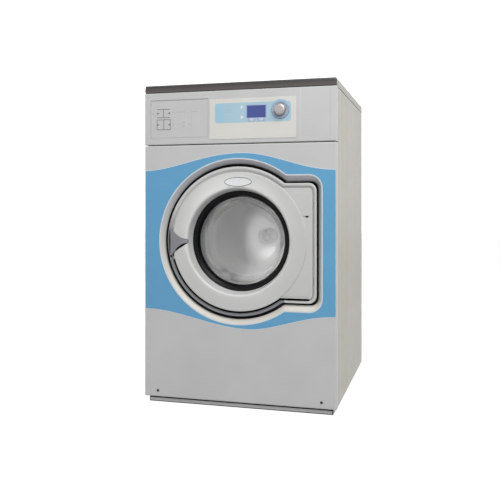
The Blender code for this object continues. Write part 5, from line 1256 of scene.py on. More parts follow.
@dataclass
class Controls:
    """The control fascia with its instruction plate, overlay, display, keys and dial."""

    half_width: float = 0.340
    low: float = 0.9055
    high: float = 1.0875
    depth: float = 0.032
    bend: float = 0.003
    plate_box: Quad = (-0.3180, -0.1040, 0.9290, 1.0620)
    window_box: Quad = (-0.0900, 0.1960, 0.9300, 1.0480)
    recess: float = 0.003
    overlay_box: Quad = (-0.0990, 0.2050, 0.9200, 1.0580)
    overlay_near: float = -0.0013
    strip_box: Quad = (-0.0790, 0.1880, 0.9750, 1.0425)
    screen_box: Quad = (0.0353, 0.1007, 0.9903, 1.0317)
    border: float = 0.0048
    key_boxes: tuple[Pair, ...] = ((0.0430, 0.0590), (0.0770, 0.0930))
    key_low: float = 0.9785
    key_high: float = 0.9885
    film: float = 0.00015
    sink: float = 0.0001
    dial: Pair = (0.152, 1.014)
    bezel_radius: float = 0.0305
    bezel_hole: float = 0.0175
    knob_radius: float = 0.0198
    knob_neck: float = 0.0152
    lines: tuple[float, ...] = (0.2200, 0.3185)
    line_half: float = 0.0006
    line_margin: float = 0.004
    diagrams: tuple[tuple[float, float, float, float, bool], ...] = (
        (-0.294, -0.245, 1.0015, 1.0300, False), (-0.294, -0.244, 0.9590, 0.9935, True))
    bar_halves: Pair = (0.0012, 0.0010)
    arrow_steps: int = 4
    arrow_reach: float = 0.0024
    arrow_pitch: float = 0.0011
    arrow_half: float = 0.00055
    pale_steps: int = 7
    pale_place: Triple = (0.0140, 1.0270, 0.9930)
    pale_half: float = 0.0009
    key_span: Pair = (-0.0021, 0.020)
    key_round: float = 0.0007
    key_corner: float = 0.0012
    key_gap: float = 0.0002

    def build_fascia(self) -> None:
        """The pressed sheet, open under the overlay and round the instruction plate."""
        skin = Patchwork("control_fascia_skin")
        left, right, low, high = self.plate_box
        us = [-self.half_width, left, right, self.window_box[0], self.window_box[1],
              self.half_width]
        vs = [self.low, low, self.window_box[2], self.window_box[3], high, self.high]
        skin.pressed(us, vs, 0.0, self.depth, self.bend, holes=(self.plate_box, self.window_box))
        rim = rectangle(left, right, low, high)
        skin.loft([spread(rim, 0.0), spread(rim, self.recess)])
        skin.cap(spread(rim, self.recess))
        skin.build([Shop.paint], "cabinet", "light_paint", ["control_fascia"], facing=FRONTWARD)
        # The first line is a pale painted highlight. The second is a faint grey line.
        for i, x in enumerate(self.lines):
            groove = Patchwork(f"fascia_line_{i + 1}")
            groove.plate(rectangle(x - self.line_half, x + self.line_half,
                                   self.low + self.line_margin, self.high - self.line_margin),
                         -self.film, 0.0002, 0.0)
            groove.build([(Shop.line, Shop.mark_faint)[i]], "cabinet", "light_paint")

    def bars(self, name: str, boxes: Sequence[Row], near: float, finish: Finish) -> None:
        """Printed marks: thin flat boxes, each (left, right, low, high)."""
        print_piece = Patchwork(name)
        for left, right, low, high in boxes:
            print_piece.plate(rectangle(left, right, low, high), near - self.film,
                              near + self.sink, 0.0)
        print_piece.build([finish], "cabinet", "white_film")

    def build_plate(self) -> None:
        """The instruction plate with two generic compartment diagrams and ruled lines."""
        left, right, low, high = self.plate_box
        plate = Patchwork("instruction_plate")
        near = self.recess - 0.0012
        plate.plate(rectangle(left + 0.0008, right - 0.0008, low + 0.0008, high - 0.0014, 0.002),
                    near, self.recess + self.sink, 0.0003)
        plate.build([Shop.paint], "cabinet", "light_paint")
        dark: list[Quad] = []
        half, thin = self.bar_halves
        for x0, x1, z0, z1, closed in self.diagrams:
            across, up = (x0 + x1) / 2, (z0 + z1) / 2
            dark += [(x0, x1, z - half, z + half) for z in (z0, z1)]
            dark.append((across - half, across + half, z0, z1))
            if closed:
                dark += [(x - thin, x + thin, z0, z1) for x in (x0, x1)]
            for x, way in ((x0, 1), (x1, -1)):
                for k in range(self.arrow_steps):
                    ends = sorted((x, x + way * self.arrow_reach * (self.arrow_steps - k)))
                    dark += [(*ends, up + rise - self.arrow_half, up + rise + self.arrow_half)
                             for rise in (self.arrow_pitch * k, -self.arrow_pitch * k)]
        self.bars("plate_diagrams", dark, near, Shop.mark)
        faint = [(-0.2360, -0.2230, 1.0178, 1.0190), (-0.2180, -0.1880, 1.0178, 1.0190),
                 (-0.1660, -0.1420, 1.0185, 1.0203), (-0.3110, -0.3030, 1.0100, 1.0112),
                 (-0.3110, -0.3030, 1.0150, 1.0162), (-0.3110, -0.3050, 1.0200, 1.0212),
                 (-0.3070, -0.3020, 0.9750, 0.9762), (-0.3070, -0.3020, 0.9700, 0.9712),
                 (-0.2330, -0.2310, 0.9710, 0.9800), (-0.2210, -0.2110, 0.9760, 0.9772),
                 (-0.1990, -0.1900, 0.9810, 0.9836), (-0.1990, -0.1900, 0.9670, 0.9696),
                 (-0.2060, -0.1960, 0.9740, 0.9752), (-0.1760, -0.1700, 0.9740, 0.9760),
                 (-0.1650, -0.1644, 0.9500, 1.0150)]
        self.bars("plate_marks", faint, near, Shop.mark_faint)

    def build_overlay(self) -> None:
        """The white overlay, its light-blue strip, the display, the boxes and ruled lines."""
        near, printed = self.overlay_near, self.overlay_near - self.film
        dial_x, dial_z = self.dial
        keys = [(x0 - 0.0004, x1 + 0.0004, self.key_low - 0.0004, self.key_high + 0.0004)
                for x0, x1 in self.key_boxes]
        dial_box = (dial_x - 0.012, dial_x + 0.012, dial_z - 0.012, dial_z + 0.012)
        holes = (*keys, self.screen_box, dial_box)
        left, right, low, high = self.overlay_box
        lines_u = sorted({v for box in holes for v in box[:2]})
        lines_v = sorted({v for box in holes for v in box[2:]})
        sheet = Patchwork("display_overlay_film")
        sheet.pressed([left, *lines_u, right], [low, *lines_v, high], near, -0.0003, 0.0005,
                      holes=holes)
        sheet.build([Shop.film], "cabinet", "white_film", ["display_overlay"], facing=FRONTWARD)
        left, right, low, high = self.strip_box
        split = lines_u[0] - 0.006
        strip = Patchwork("overlay_strip")
        end = rounded([(left, low), (split, low), (split, high), (left, high)],
                      [0.008, 0, 0, 0.008], 8, closed=True)
        strip.plate(end, printed, near + self.sink, 0.0)
        strip.pressed([split, *lines_u], [low, *lines_v, high], printed, near + self.sink,
                      0.00005, holes=holes)
        end = rounded([(lines_u[-1], low), (right, low), (right, high), (lines_u[-1], high)],
                      [0, 0.0230, 0.0230, 0], 12, closed=True)
        strip.plate(end, printed, near + self.sink, 0.0)
        strip.build([Shop.strip], "cabinet", "white_film", facing=FRONTWARD)
        x0, x1, z0, z1 = self.screen_box
        edge = self.border
        frame = Patchwork("display_border")
        frame.pressed([x0 - edge, x0, x1, x1 + edge], [z0 - edge * 0.5, z0, z1, z1 + edge * 0.5],
                      near - 2.2 * self.film, near, 0.0001, holes=(self.screen_box,))
        frame.build([Shop.lavender], "cabinet", "white_film", facing=FRONTWARD)
        glass = Patchwork("display_window_glass")
        glass.plate(rectangle(x0 + 0.0002, x1 - 0.0002, z0 + 0.0002, z1 - 0.0002, 0.001),
                    near - 0.0001, 0.0025, 0.0002)
        glass.build([Shop.screen], "cabinet", "display_blue", ["display_window"])
        rows = [(0.9860, 0.029), (0.9920, 0.026), (1.0105, 0.033), (1.0165, 0.024),
                (1.0225, 0.029), (1.0335, 0.033)]
        self.bars("strip_rules", [(-0.0420, -0.0420 + w, z, z + 0.0007) for z, w in rows]
                  + [(0.1130, 0.1190, z, z + 0.0008) for z in (0.985, 0.995, 1.005, 1.015, 1.025)],
                  printed, Shop.rule)
        heights = (self.key_low - 0.0004, self.key_high + 0.0010)
        soft = [(x0 - 0.0055, x0 - 0.0010, *heights) for x0, _ in self.key_boxes]
        soft += [(x1 + 0.0010, x1 + 0.0055, *heights) for _, x1 in self.key_boxes]
        self.bars("key_surrounds", soft, printed, Shop.lavender)
        self.bars("strip_tint", [(-0.0740, -0.0450, 0.9800, 1.0385)], printed, Shop.tint)
        pale = []
        left, *heights = self.pale_place
        for k in range(self.pale_steps):
            half, x = self.pale_half * (self.pale_steps - k), left + self.arrow_pitch * k
            pale += [(x, x + self.arrow_pitch, z - half, z + half) for z in heights]
        self.bars("strip_arrows", pale, printed, Shop.pale)

    def build_keys(self) -> None:
        """Two flat soft keys with a rounded edge."""
        for name, (x0, x1) in zip(("left", "right"), self.key_boxes):
            key = Patchwork(f"soft_key_{name}_cap")
            gap = self.key_gap
            edge = rectangle(x0 + gap, x1 - gap, self.key_low + gap, self.key_high - gap,
                             self.key_corner)
            key.plate(edge, *self.key_span, self.key_round)
            key.build([Shop.key], f"{name}_key", "white_film", [f"soft_key_{name}"])

    def build_dial(self) -> None:
        """The dial's dished ring and its silver knob with a fluted flank."""
        dial_x, dial_z = self.dial
        centre = (dial_x, 0.0, dial_z)
        outer, hole = self.bezel_radius, self.bezel_hole
        ring = Patchwork("dial_bezel_ring")
        profile = rounded([(outer, -0.0010), (outer, -0.0032), (outer - 0.0022, -0.0050),
                           (outer - 0.0045, -0.0048), (hole + 0.0032, -0.0024),
                           (hole, -0.0030), (hole, -0.0010)],
                          [0, 0.0012, 0.0010, 0.0012, 0.0014, 0.0005, 0], 5)
        closing = np.array([profile[-1], profile[0]])
        # The dish gets a lighter blue-grey, painted light against its shade. The outer flank keeps
        # the ring's own colour.
        for run, finish in ((profile[:12], 1), (profile[11:], 0), (closing, 0)):
            ring.turn(run, centre, steps=112, finish=finish)
        ring.build([Shop.dish, Shop.dial], "cabinet", "handle_grey", ["dial_bezel"])
        halo = Patchwork("dial_halo")
        near = self.overlay_near - 2 * self.film
        halo.turn([(outer + 0.0050, near), (outer - 0.0005, near)], centre)
        halo.build([Shop.tint], "cabinet", "white_film", facing=FRONTWARD)
        knob = Patchwork("selector_knob_cap")
        turn = wheel(144)[:, None]
        r = self.knob_radius
        line_of = rounded([(0.0, -0.0190), (r * 0.55, -0.0188), (r * 0.88, -0.0174),
                           (r * 0.985, -0.0140), (r, -0.0072), (self.knob_neck, -0.0066),
                           (self.knob_neck, -0.0032), (0.0, -0.0032)],
                          [0, 0.006, 0.003, 0.003, 0.0012, 0.001, 0.0006, 0], 5)
        radius, along = line_of[:, 0], line_of[:, 1]
        flank = np.clip((along + 0.0150) / 0.003, 0, 1) * (along < -0.0034)
        wave = 1 - 0.018 * flank[None, :] * (0.5 + 0.5 * np.cos(18 * turn))
        points = polar(radius[None, :] * wave, turn, along, self.dial)
        knob.grid(points, True, False)
        knob.build([Shop.knob], "dial", "handle_grey", ["selector_knob"])
        pointer = Patchwork("knob_pointer")
        pointer.plate(rectangle(dial_x - 0.0007, dial_x + 0.0007, dial_z + 0.0045,
                                dial_z + 0.0085, 0.0006), -0.01915, -0.0180, 0.0001)
        pointer.build([Shop.dial], "dial", "handle_grey")

    def build(self) -> None:
        """Build every piece of the control panel."""
        self.build_fascia()
        self.build_plate()
        self.build_overlay()
        self.build_keys()
        self.build_dial()


# Top, sides, rear and base


@dataclass
class Shell:
    """The top, the two side panels, the rear panel with its cover, the base and the feet."""

    half_width: float = 0.340
    low: float = 0.022
    high: float = 1.0877
    side_front: float = 0.0335
    back: float = 0.7302
    side_depth: float = 0.020
    top_low: float = 1.0880
    top_high: float = 1.1150
    top_front: float = 0.0143
    top_back: float = 0.7320
    trim_round: float = 0.0060
    lid_box: Quad = (-0.3100, -0.0700, 0.0400, 0.2475)
    lid_gap: float = 0.0022
    lid_low: float = 1.1134
    lid_pin: Triple = (0.2475, 1.1107, 0.0025)
    lid_barrel: Pair = (-0.3224, -0.0576)
    rear_far: float = 0.7320
    cover_box: Quad = (-0.230, 0.230, 0.280, 0.840)
    cover_far: float = 0.7338
    screw_line: tuple[Pair, ...] = (
        (0, 0.0008), (0.0018, 0.0008), (0.0020, 0.0016), (0.0034, 0.0011), (0.0042, -0.0001),
        (0, -0.0001))
    vent_width: float = 0.160
    vent_height: float = 0.006
    vent_pitch: float = 0.018
    vents: int = 6
    vent_bar: float = 0.006
    cover_overlap: float = 0.02
    screw_margin: float = 0.012
    bands: tuple[Pair, ...] = ((0.085, 0.235), (0.290, 0.300), (0.420, 0.640))
    band_depth: float = 0.0005
    band_edge: float = 0.0012
    drain: Triple = (-0.110, 0.105, 0.0375)
    inlets: tuple[Triple, ...] = ((-0.200, 1.045, 0.013), (-0.130, 1.045, 0.013))
    gland: Triple = (0.230, 0.985, 0.007)
    plinth: float = 0.014
    foot_radius: float = 0.016
    stem_radius: float = 0.006
    stem_top: float = 0.0585
    foot_places: tuple[Pair, ...] = ((0.307, 0.033), (0.307, 0.699))

    def build_trim(self) -> None:
        """The dark strip on the top's front edge, its ends rounded, with painted shading that
        makes its lower part lighter.
        """
        trim = Patchwork("top_trim_strip")
        low, high = self.top_low + 0.0003, self.top_high
        section = rounded([(0.0140, low), (0.0140, high), (0.0, high), (0.0, low)],
                          [0, 0, 0.0085, 0.0025], 8, closed=True)
        rings = [spread(inset(section, self.trim_round * side),
                        -self.half_width + self.trim_round * up, Axis.X)
                 for side, up in quarter(6)]
        rings += [ring * [-1, 1, 1] for ring in rings[::-1]]
        trim.loft(rings)
        trim.cap(rings[0])
        trim.cap(rings[-1])
        trim.build([Shop.trim], "cabinet", "dark_trim", ["top_trim"])
        # A dark lip under the trim: painted shadow.
        lip = Patchwork("top_trim_lip")
        lip.plate(rectangle(0.0010, 0.0138, low - 0.0001, low + 0.0004),
                  -self.half_width + 0.001, self.half_width - 0.001, 0.0, Axis.X)
        lip.build([Shop.painted_gap_shadow], "cabinet", "dark_trim")

    def build_top(self) -> None:
        """The top sheet, open over the soap box, and the lid that closes it."""
        left, right, near, far = self.lid_box
        pin_y, pin_z, pin_radius = self.lid_pin
        hole = (left - self.lid_gap, right + self.lid_gap, near - self.lid_gap,
                pin_y + pin_radius + self.lid_gap)
        sheet = Patchwork("top_panel_sheet")
        sheet.pressed([-self.half_width, *hole[:2], self.half_width],
                      [self.top_front, *hole[2:], self.top_back], self.top_high, self.top_low,
                      0.004, Axis.Z, holes=(hole,))
        edge = rectangle(*hole)
        sheet.loft([spread(edge, self.top_high, Axis.Z), spread(edge, self.lid_low, Axis.Z)])
        sheet.build([Shop.top_paint], "cabinet", "light_paint", ["top_panel"], facing=(0, 0, 1))
        lid = Patchwork("soap_lid_sheet")
        middle = near + np.array([0.013, 0.014, 0.019, 0.036, 0.041, 0.042])
        scoop = 1 - np.linspace(-1, 1, 17)[:, None] ** 4
        relief = -0.0040 * scoop * np.array([0, 0, 1, 1, 0, 0])
        lid.pressed([left, *np.linspace(-0.225, -0.155, 17), right], [near, *middle, far],
                    self.top_high, self.lid_low, 0.0012, Axis.Z, relief=relief)
        lid.build([Shop.top_paint], "soap_flap", "light_paint", ["soap_lid"],
                  facing=(0, 0, 1), thick=0.0012)
        barrel = Patchwork("soap_lid_barrel")
        barrel.tube(np.array([(x, pin_y, pin_z) for x in self.lid_barrel]), pin_radius, 32)
        barrel.plate(rectangle(pin_y - pin_radius, pin_y, pin_z, self.top_high - 0.0008),
                     left + 0.003, right - 0.003, 0.0, Axis.X)
        barrel.build([Shop.zinc], "soap_flap", "galvanised")

    def build_sides(self) -> None:
        """Two side panels with shallow vertical pressings.

        The pressing's depth is band_depth times a smooth step across each band's edges.
        """
        rows = np.linspace(0.060, 0.705, 87)
        bands = sum(way / (1 + np.exp(-(rows - place) / self.band_edge))
                    for band in self.bands for place, way in zip(band, (1, -1)))
        for side in Side:
            panel = Patchwork(f"side_panel_{side.word}_sheet")
            panel.pressed([self.side_front, *rows, self.back],
                          [self.low, self.low + 0.05, self.high - 0.05, self.high],
                          side.value * self.half_width,
                          side.value * (self.half_width - self.side_depth), 0.003, Axis.X,
                          relief=-side.value * self.band_depth * bands[:, None] * np.ones(2))
            panel.build([Shop.side_paint_shaded], "cabinet", "light_paint",
                        [f"side_panel_{side.word}"], facing=(side.value, 0, 0))
            # A dark strip at the seam behind the front panel's return: painted shadow of the gap.
            seam = Patchwork(f"side_seam_{side.word}")
            x = side.value * self.half_width
            seam.plate(rectangle(0.0322, 0.0333, self.low + 0.002, self.high - 0.001),
                       x - side.value * 0.0004, x - side.value * 0.003, 0.0, Axis.X)
            seam.build([Shop.painted_gap_shadow], "cabinet", "light_paint")

    def hole_tool(self, name: str, place: Triple) -> Piece:
        """A round cutter through the rear sheet."""
        tool = Patchwork(name)
        x, z, radius = place
        rings = [spread(circle(radius, 48, (x, z)), self.rear_far + reach)
                 for reach in (-0.01, 0.01)]
        tool.loft(rings)
        for ring in rings:
            tool.cap(ring)
        return tool.shape()

    def build_rear(self) -> None:
        """The rear sheet and its service cover with vent slots and screws."""
        left, right, low, high = self.cover_box
        lap, bar, rim = self.cover_overlap, self.vent_bar, self.screw_margin
        opening = (left + lap, right - lap, low + lap, high - lap)
        sheet = Patchwork("rear_panel_sheet")
        sheet.pressed([-self.half_width, *opening[:2], self.half_width],
                      [self.low, *opening[2:], self.high], self.rear_far,
                      self.rear_far - 0.0035, 0.002, holes=(opening,))
        sheet.build([Shop.side_paint_shaded], "cabinet", "light_paint", ["rear_panel"],
                    facing=(0, 1, 0), thick=0.0012,
                    cutters=[self.hole_tool("drain_hole", self.drain),
                             self.hole_tool("gland_hole", self.gland),
                             *(self.hole_tool(f"inlet_hole_{i}", place)
                               for i, place in enumerate(self.inlets))])
        cover = Patchwork("service_cover_sheet")
        half = self.vent_width / 2
        middle = (low + high) / 2 + 0.12
        slots, lines = [], []
        for k in range(self.vents):
            z = middle + (k - (self.vents - 1) / 2) * self.vent_pitch
            z0, z1 = z - self.vent_height / 2, z + self.vent_height / 2
            slots += [(-half, -bar, z0, z1), (bar, half, z0, z1)]
            lines += [z0, z1]
        cover.pressed([left, -half, -bar, bar, half, right], [low, *lines, high],
                      self.cover_far, self.rear_far + 0.0001, 0.0012, holes=slots)
        cover.build([Shop.side_paint_shaded], "cabinet", "light_paint", ["service_cover"],
                    facing=(0, 1, 0), thick=0.0008)
        screws = Patchwork("service_cover_screws")
        for x in (left + rim, 0.0, right - rim):
            for z in (low + rim, (low + high) / 2, high - rim):
                if (x, z) != (0.0, (low + high) / 2):
                    screws.turn(self.screw_line, (x, self.cover_far, z), steps=20)
        screws.build([Shop.zinc], "cabinet", "galvanised")

    def build_base(self) -> None:
        """The plinth's light strips, with dark lines of painted shadow round them, and the four
        feet.
        """
        wide, near, far = self.half_width - self.plinth, self.plinth, self.top_back - self.plinth
        strips = Patchwork("plinth_strips")
        runs = [(-wide, wide, near, -1, Axis.Y), (-wide, wide, far, 1, Axis.Y)]
        runs += [(near, far, side.value * wide, side.value, Axis.X) for side in Side]
        for start, stop, face, way, axis in runs:
            strips.plate(rectangle(start, stop, 0.0012, 0.0218), face + way * 0.0006,
                         face - way * 0.0002, 0.0, axis, 1)
            strips.plate(rectangle(start + 0.002, stop - 0.002, 0.0040, 0.0145),
                         face + way * 0.0014, face + way * 0.0005, 0.0003, axis)
        strips.build([Shop.paint, Shop.painted_gap_shadow], "cabinet", "light_paint")
        for x, y in self.foot_places:
            for side in Side:
                name = f"foot_{'front' if y < 0.3 else 'rear'}_{side.word}"
                foot = Patchwork(f"{name}_pad")
                place = (side.value * x, y, 0)
                r, stem, top = self.foot_radius, self.stem_radius, self.stem_top
                foot.turn([(0, 0), (r - 0.001, 0), (r, 0.001), (r - 0.001, 0.0042)], place,
                          Axis.Z, 48)
                foot.turn([(r - 0.001, 0.0042), (0.0095, 0.0056), (stem, 0.0057), (stem, top),
                           (0, top)], place, Axis.Z, 48, 1)
                foot.build([Shop.rubber, Shop.zinc], "cabinet", "black_rubber", [name])

    def build(self) -> None:
        """Build the cabinet's other outside pieces."""
        self.build_trim()
        self.build_top()
        self.build_sides()
        self.build_rear()
        self.build_base()


# Drum


@dataclass
class Drum:
    """The perforated drum with its embossed back, three lifters and hub cap."""

    axis: float = 0.570
    radius: float = 0.2648
    wall: float = 0.0014
    front: float = 0.128
    round: float = 0.010
    back: float = 0.4797
    mouth: float = 0.157
    lip: float = 0.1182
    holes_round: int = 110
    hole_rows: int = 20
    holes_front: float = 0.1450
    holes_back: float = 0.4640
    hole_share: float = 0.165
    disc_edge: float = 0.2628
    disc_face: float = 0.4777
    lobe_radius: float = 0.130
    lobe_wave: float = 0.013
    lobe_step: float = 0.030
    dish_face: float = 0.4680
    dish_drop: float = 0.0058
    dish_radius: float = 0.050
    dish_reach: float = 0.070
    flute: Triple = (0.232, 0.010, 0.0022)
    cap_radius: float = 0.0318
    cap_back: float = 0.4736
    cap_front: float = 0.4620
    cap_swirl: float = 1.68
    cap_hollow: float = 0.0062
    cap_knob: float = 0.0055
    lifter_base: float = 0.090
    lifter_height: float = 0.055
    lifter_round: float = 0.0022
    lifter_start: float = math.radians(103)
    lifter_span: Pair = (0.155, 0.460)
    crown: tuple[Triple, ...] = ((0.12, 0.80, 0.010), (0.60, 0.35, 0.012), (0.90, 0.22, 0.006),
                                 (1.00, 0.10, 0.003))

    @property
    def centre(self) -> Triple:
        """The axis, at the front face's depth."""
        return 0.0, 0.0, self.axis

    def build_shell(self) -> None:
        """The wall with staggered eight-sided holes, its front and its rolled mouth.

        Each cell is a square with eight outline points; eight quads join them to its hole.
        """
        shell = Patchwork("drum_shell_sheet")
        round_line = circle(1.0, 8)
        outline = 0.5 * round_line / np.abs(round_line).max(1, keepdims=True)
        row, column = np.meshgrid(np.arange(self.hole_rows), np.arange(self.holes_round),
                                  indexing="ij")
        middle = np.stack([column + 0.5 * (row % 2), row + 0.5], -1)[:, :, None]
        cell = middle + np.concatenate([outline, self.hole_share * round_line])
        angle = TURN * cell[..., 0] / self.holes_round
        share = cell[..., 1] / self.hole_rows
        depth = self.holes_front + (self.holes_back - self.holes_front) * share
        points = polar(self.radius, angle, depth, (0.0, self.axis))
        k = np.arange(8)
        quads = np.stack([k, (k + 1) % 8, 8 + (k + 1) % 8, 8 + k], -1)
        starts = 16 * np.arange(self.hole_rows * self.holes_round)[:, None, None]
        shell.keep(points.reshape(-1, 3), (starts + quads).reshape(-1, 4).tolist(), 0)
        steps = 2 * self.holes_round
        shell.turn([(self.radius, self.back), (self.radius, self.holes_back)], self.centre,
                   steps=steps)
        nose = rounded([(self.radius, self.holes_front), (self.radius, self.front),
                        (self.mouth + self.round, self.front), (self.mouth, self.lip)],
                       [0, self.round, self.round, 0], 8)
        shell.turn(nose, self.centre, steps=steps)
        shell.build([Shop.steel], "drum", "stainless", ["drum_shell"], facing=FRONTWARD,
                    thick=self.wall)

    def build_back(self) -> None:
        """The back: a lobed step round a shallow dish, with the spider, hub and shaft behind.

        The step lies at lobe_radius + lobe_wave cos 3a. A smooth step takes the face from the
        rim's depth to the dish's, inside a shallow groove, and the dish falls to the hub.
        """
        radius = np.concatenate([np.linspace(0, 0.030, 3), np.linspace(0.034, 0.095, 18),
                                 np.linspace(0.098, 0.165, 60), np.linspace(0.170, 0.262, 12),
                                 [self.disc_edge]])[:, None]
        turn = wheel(288)[None]
        edge = self.lobe_radius + self.lobe_wave * np.cos(3 * turn)
        rise = smooth((edge - radius) / self.lobe_step + 0.5)
        fall = np.clip((radius - self.dish_radius) / self.dish_reach, 0, 1)
        dish = self.dish_face + self.dish_drop * (1 - fall) ** 2
        place, width, height = self.flute
        flute = height * np.exp(-((radius - place) / width) ** 2)
        depth = self.disc_face + (dish - self.disc_face) * rise - flute
        back = Patchwork("drum_back_sheet")
        points = polar(radius, turn, depth, (0.0, self.axis))
        back.grid(points, False, True)
        rim = points[-1]
        back.loft([rim, rim + [0, 0.0020, 0]])
        back.grid((points + [0, 0.0018, 0])[::2, ::2], False, True, 1)
        hub = [(0, 0.4762), (0.0500, 0.4800), (0.0500, 0.5040), (0.0200, 0.5060),
               (0.0200, 0.6440), (0, 0.6440)]
        back.turn(rounded(hub, [0, 0, 0.006, 0.004, 0.002, 0], 4), self.centre, steps=72, finish=2)
        for i in range(3):
            way = self.lifter_start + TURN * i / 3
            along = np.array([math.cos(way), 0, math.sin(way)])
            across = np.array([-math.sin(way), 0, math.cos(way)])
            reach = np.array([0.046, 0.12, 0.20, 0.2515])[:, None, None]
            half = np.array([0.030, 0.024, 0.020, 0.018])[:, None]
            rise = np.array([0.0245, 0.018, 0.013, 0.010])[:, None]
            side = np.array([-1, -0.8, 0.8, 1])[None]
            high = np.array([0.0022, 1, 1, 0.0022])[None]
            section = (np.array([0, 0, self.axis]) + reach * along
                       + (half * side)[..., None] * across)
            section[..., 1] = 0.4797 + rise * high
            back.loft(list(section), 2)
            back.cap(section[0], 2)
            back.cap(section[-1], 2)
        back.build([Shop.disc, Shop.steel, Shop.cast], "drum", "stainless", ["drum_back_disc"])

    def build_cap(self) -> None:
        """The hub cap: a dome with a rim, a three-lobed hollow and a knob in its middle."""
        r = self.cap_radius
        radius = np.concatenate([np.linspace(0, 0.96, 28), np.linspace(0.97, 1, 5)])[:, None] * r
        turn = wheel(144)[None]
        share = radius / r
        dome = (self.cap_back - self.cap_front) * np.sqrt(np.clip(1 - share ** 6, 0, 1))
        swirl = 3 * turn + self.cap_swirl * share
        dome = dome - self.cap_hollow * smooth((0.62 + 0.16 * np.cos(swirl) - share) / 0.16 + 0.5)
        dome += self.cap_knob * smooth((0.24 - share) / 0.10 + 0.5)
        cap = Patchwork("hub_cap_dome")
        points = polar(radius, turn, self.cap_back - dome, (0.0, self.axis))
        cap.grid(points, False, True)
        cap.cap(points[-1])
        cap.build([Shop.disc], "drum", "stainless", ["hub_cap"])

    def build_lifters(self) -> None:
        """Three closed lifters on the drum's wall, their crowns and ends rounded."""
        foot = self.radius - self.wall - 0.0004
        half = self.lifter_base / 2 / foot
        base = [(foot * math.cos(a), foot * math.sin(a)) for a in np.linspace(-half, half, 9)]
        crown = [(foot - self.lifter_height * rise, self.lifter_base / 2 * wide, soft)
                 for rise, wide, soft in self.crown]
        corners = [(*p, 0.0) for p in base] + crown + [(a, -b, c) for a, b, c in crown[::-1]]
        outline = rounded([c[:2] for c in corners], [c[2] for c in corners], 6, closed=True)
        for i in range(3):
            turn = self.lifter_start + TURN * i / 3
            c, s = math.cos(turn), math.sin(turn)
            turned = outline @ np.array([(c, s), (-s, c)]) + np.array([0.0, self.axis])
            lifter = Patchwork(f"drum_lifter_{i + 1}_rib")
            lifter.plate(turned, *self.lifter_span, self.lifter_round, back_edge=self.lifter_round)
            lifter.build([Shop.steel], "drum", "stainless", [f"drum_lifter_{i + 1}"])

    def build(self) -> None:
        """Build everything fine that turns with the drum."""
        self.build_shell()
        self.build_back()
        self.build_cap()
        self.build_lifters()


# Tub


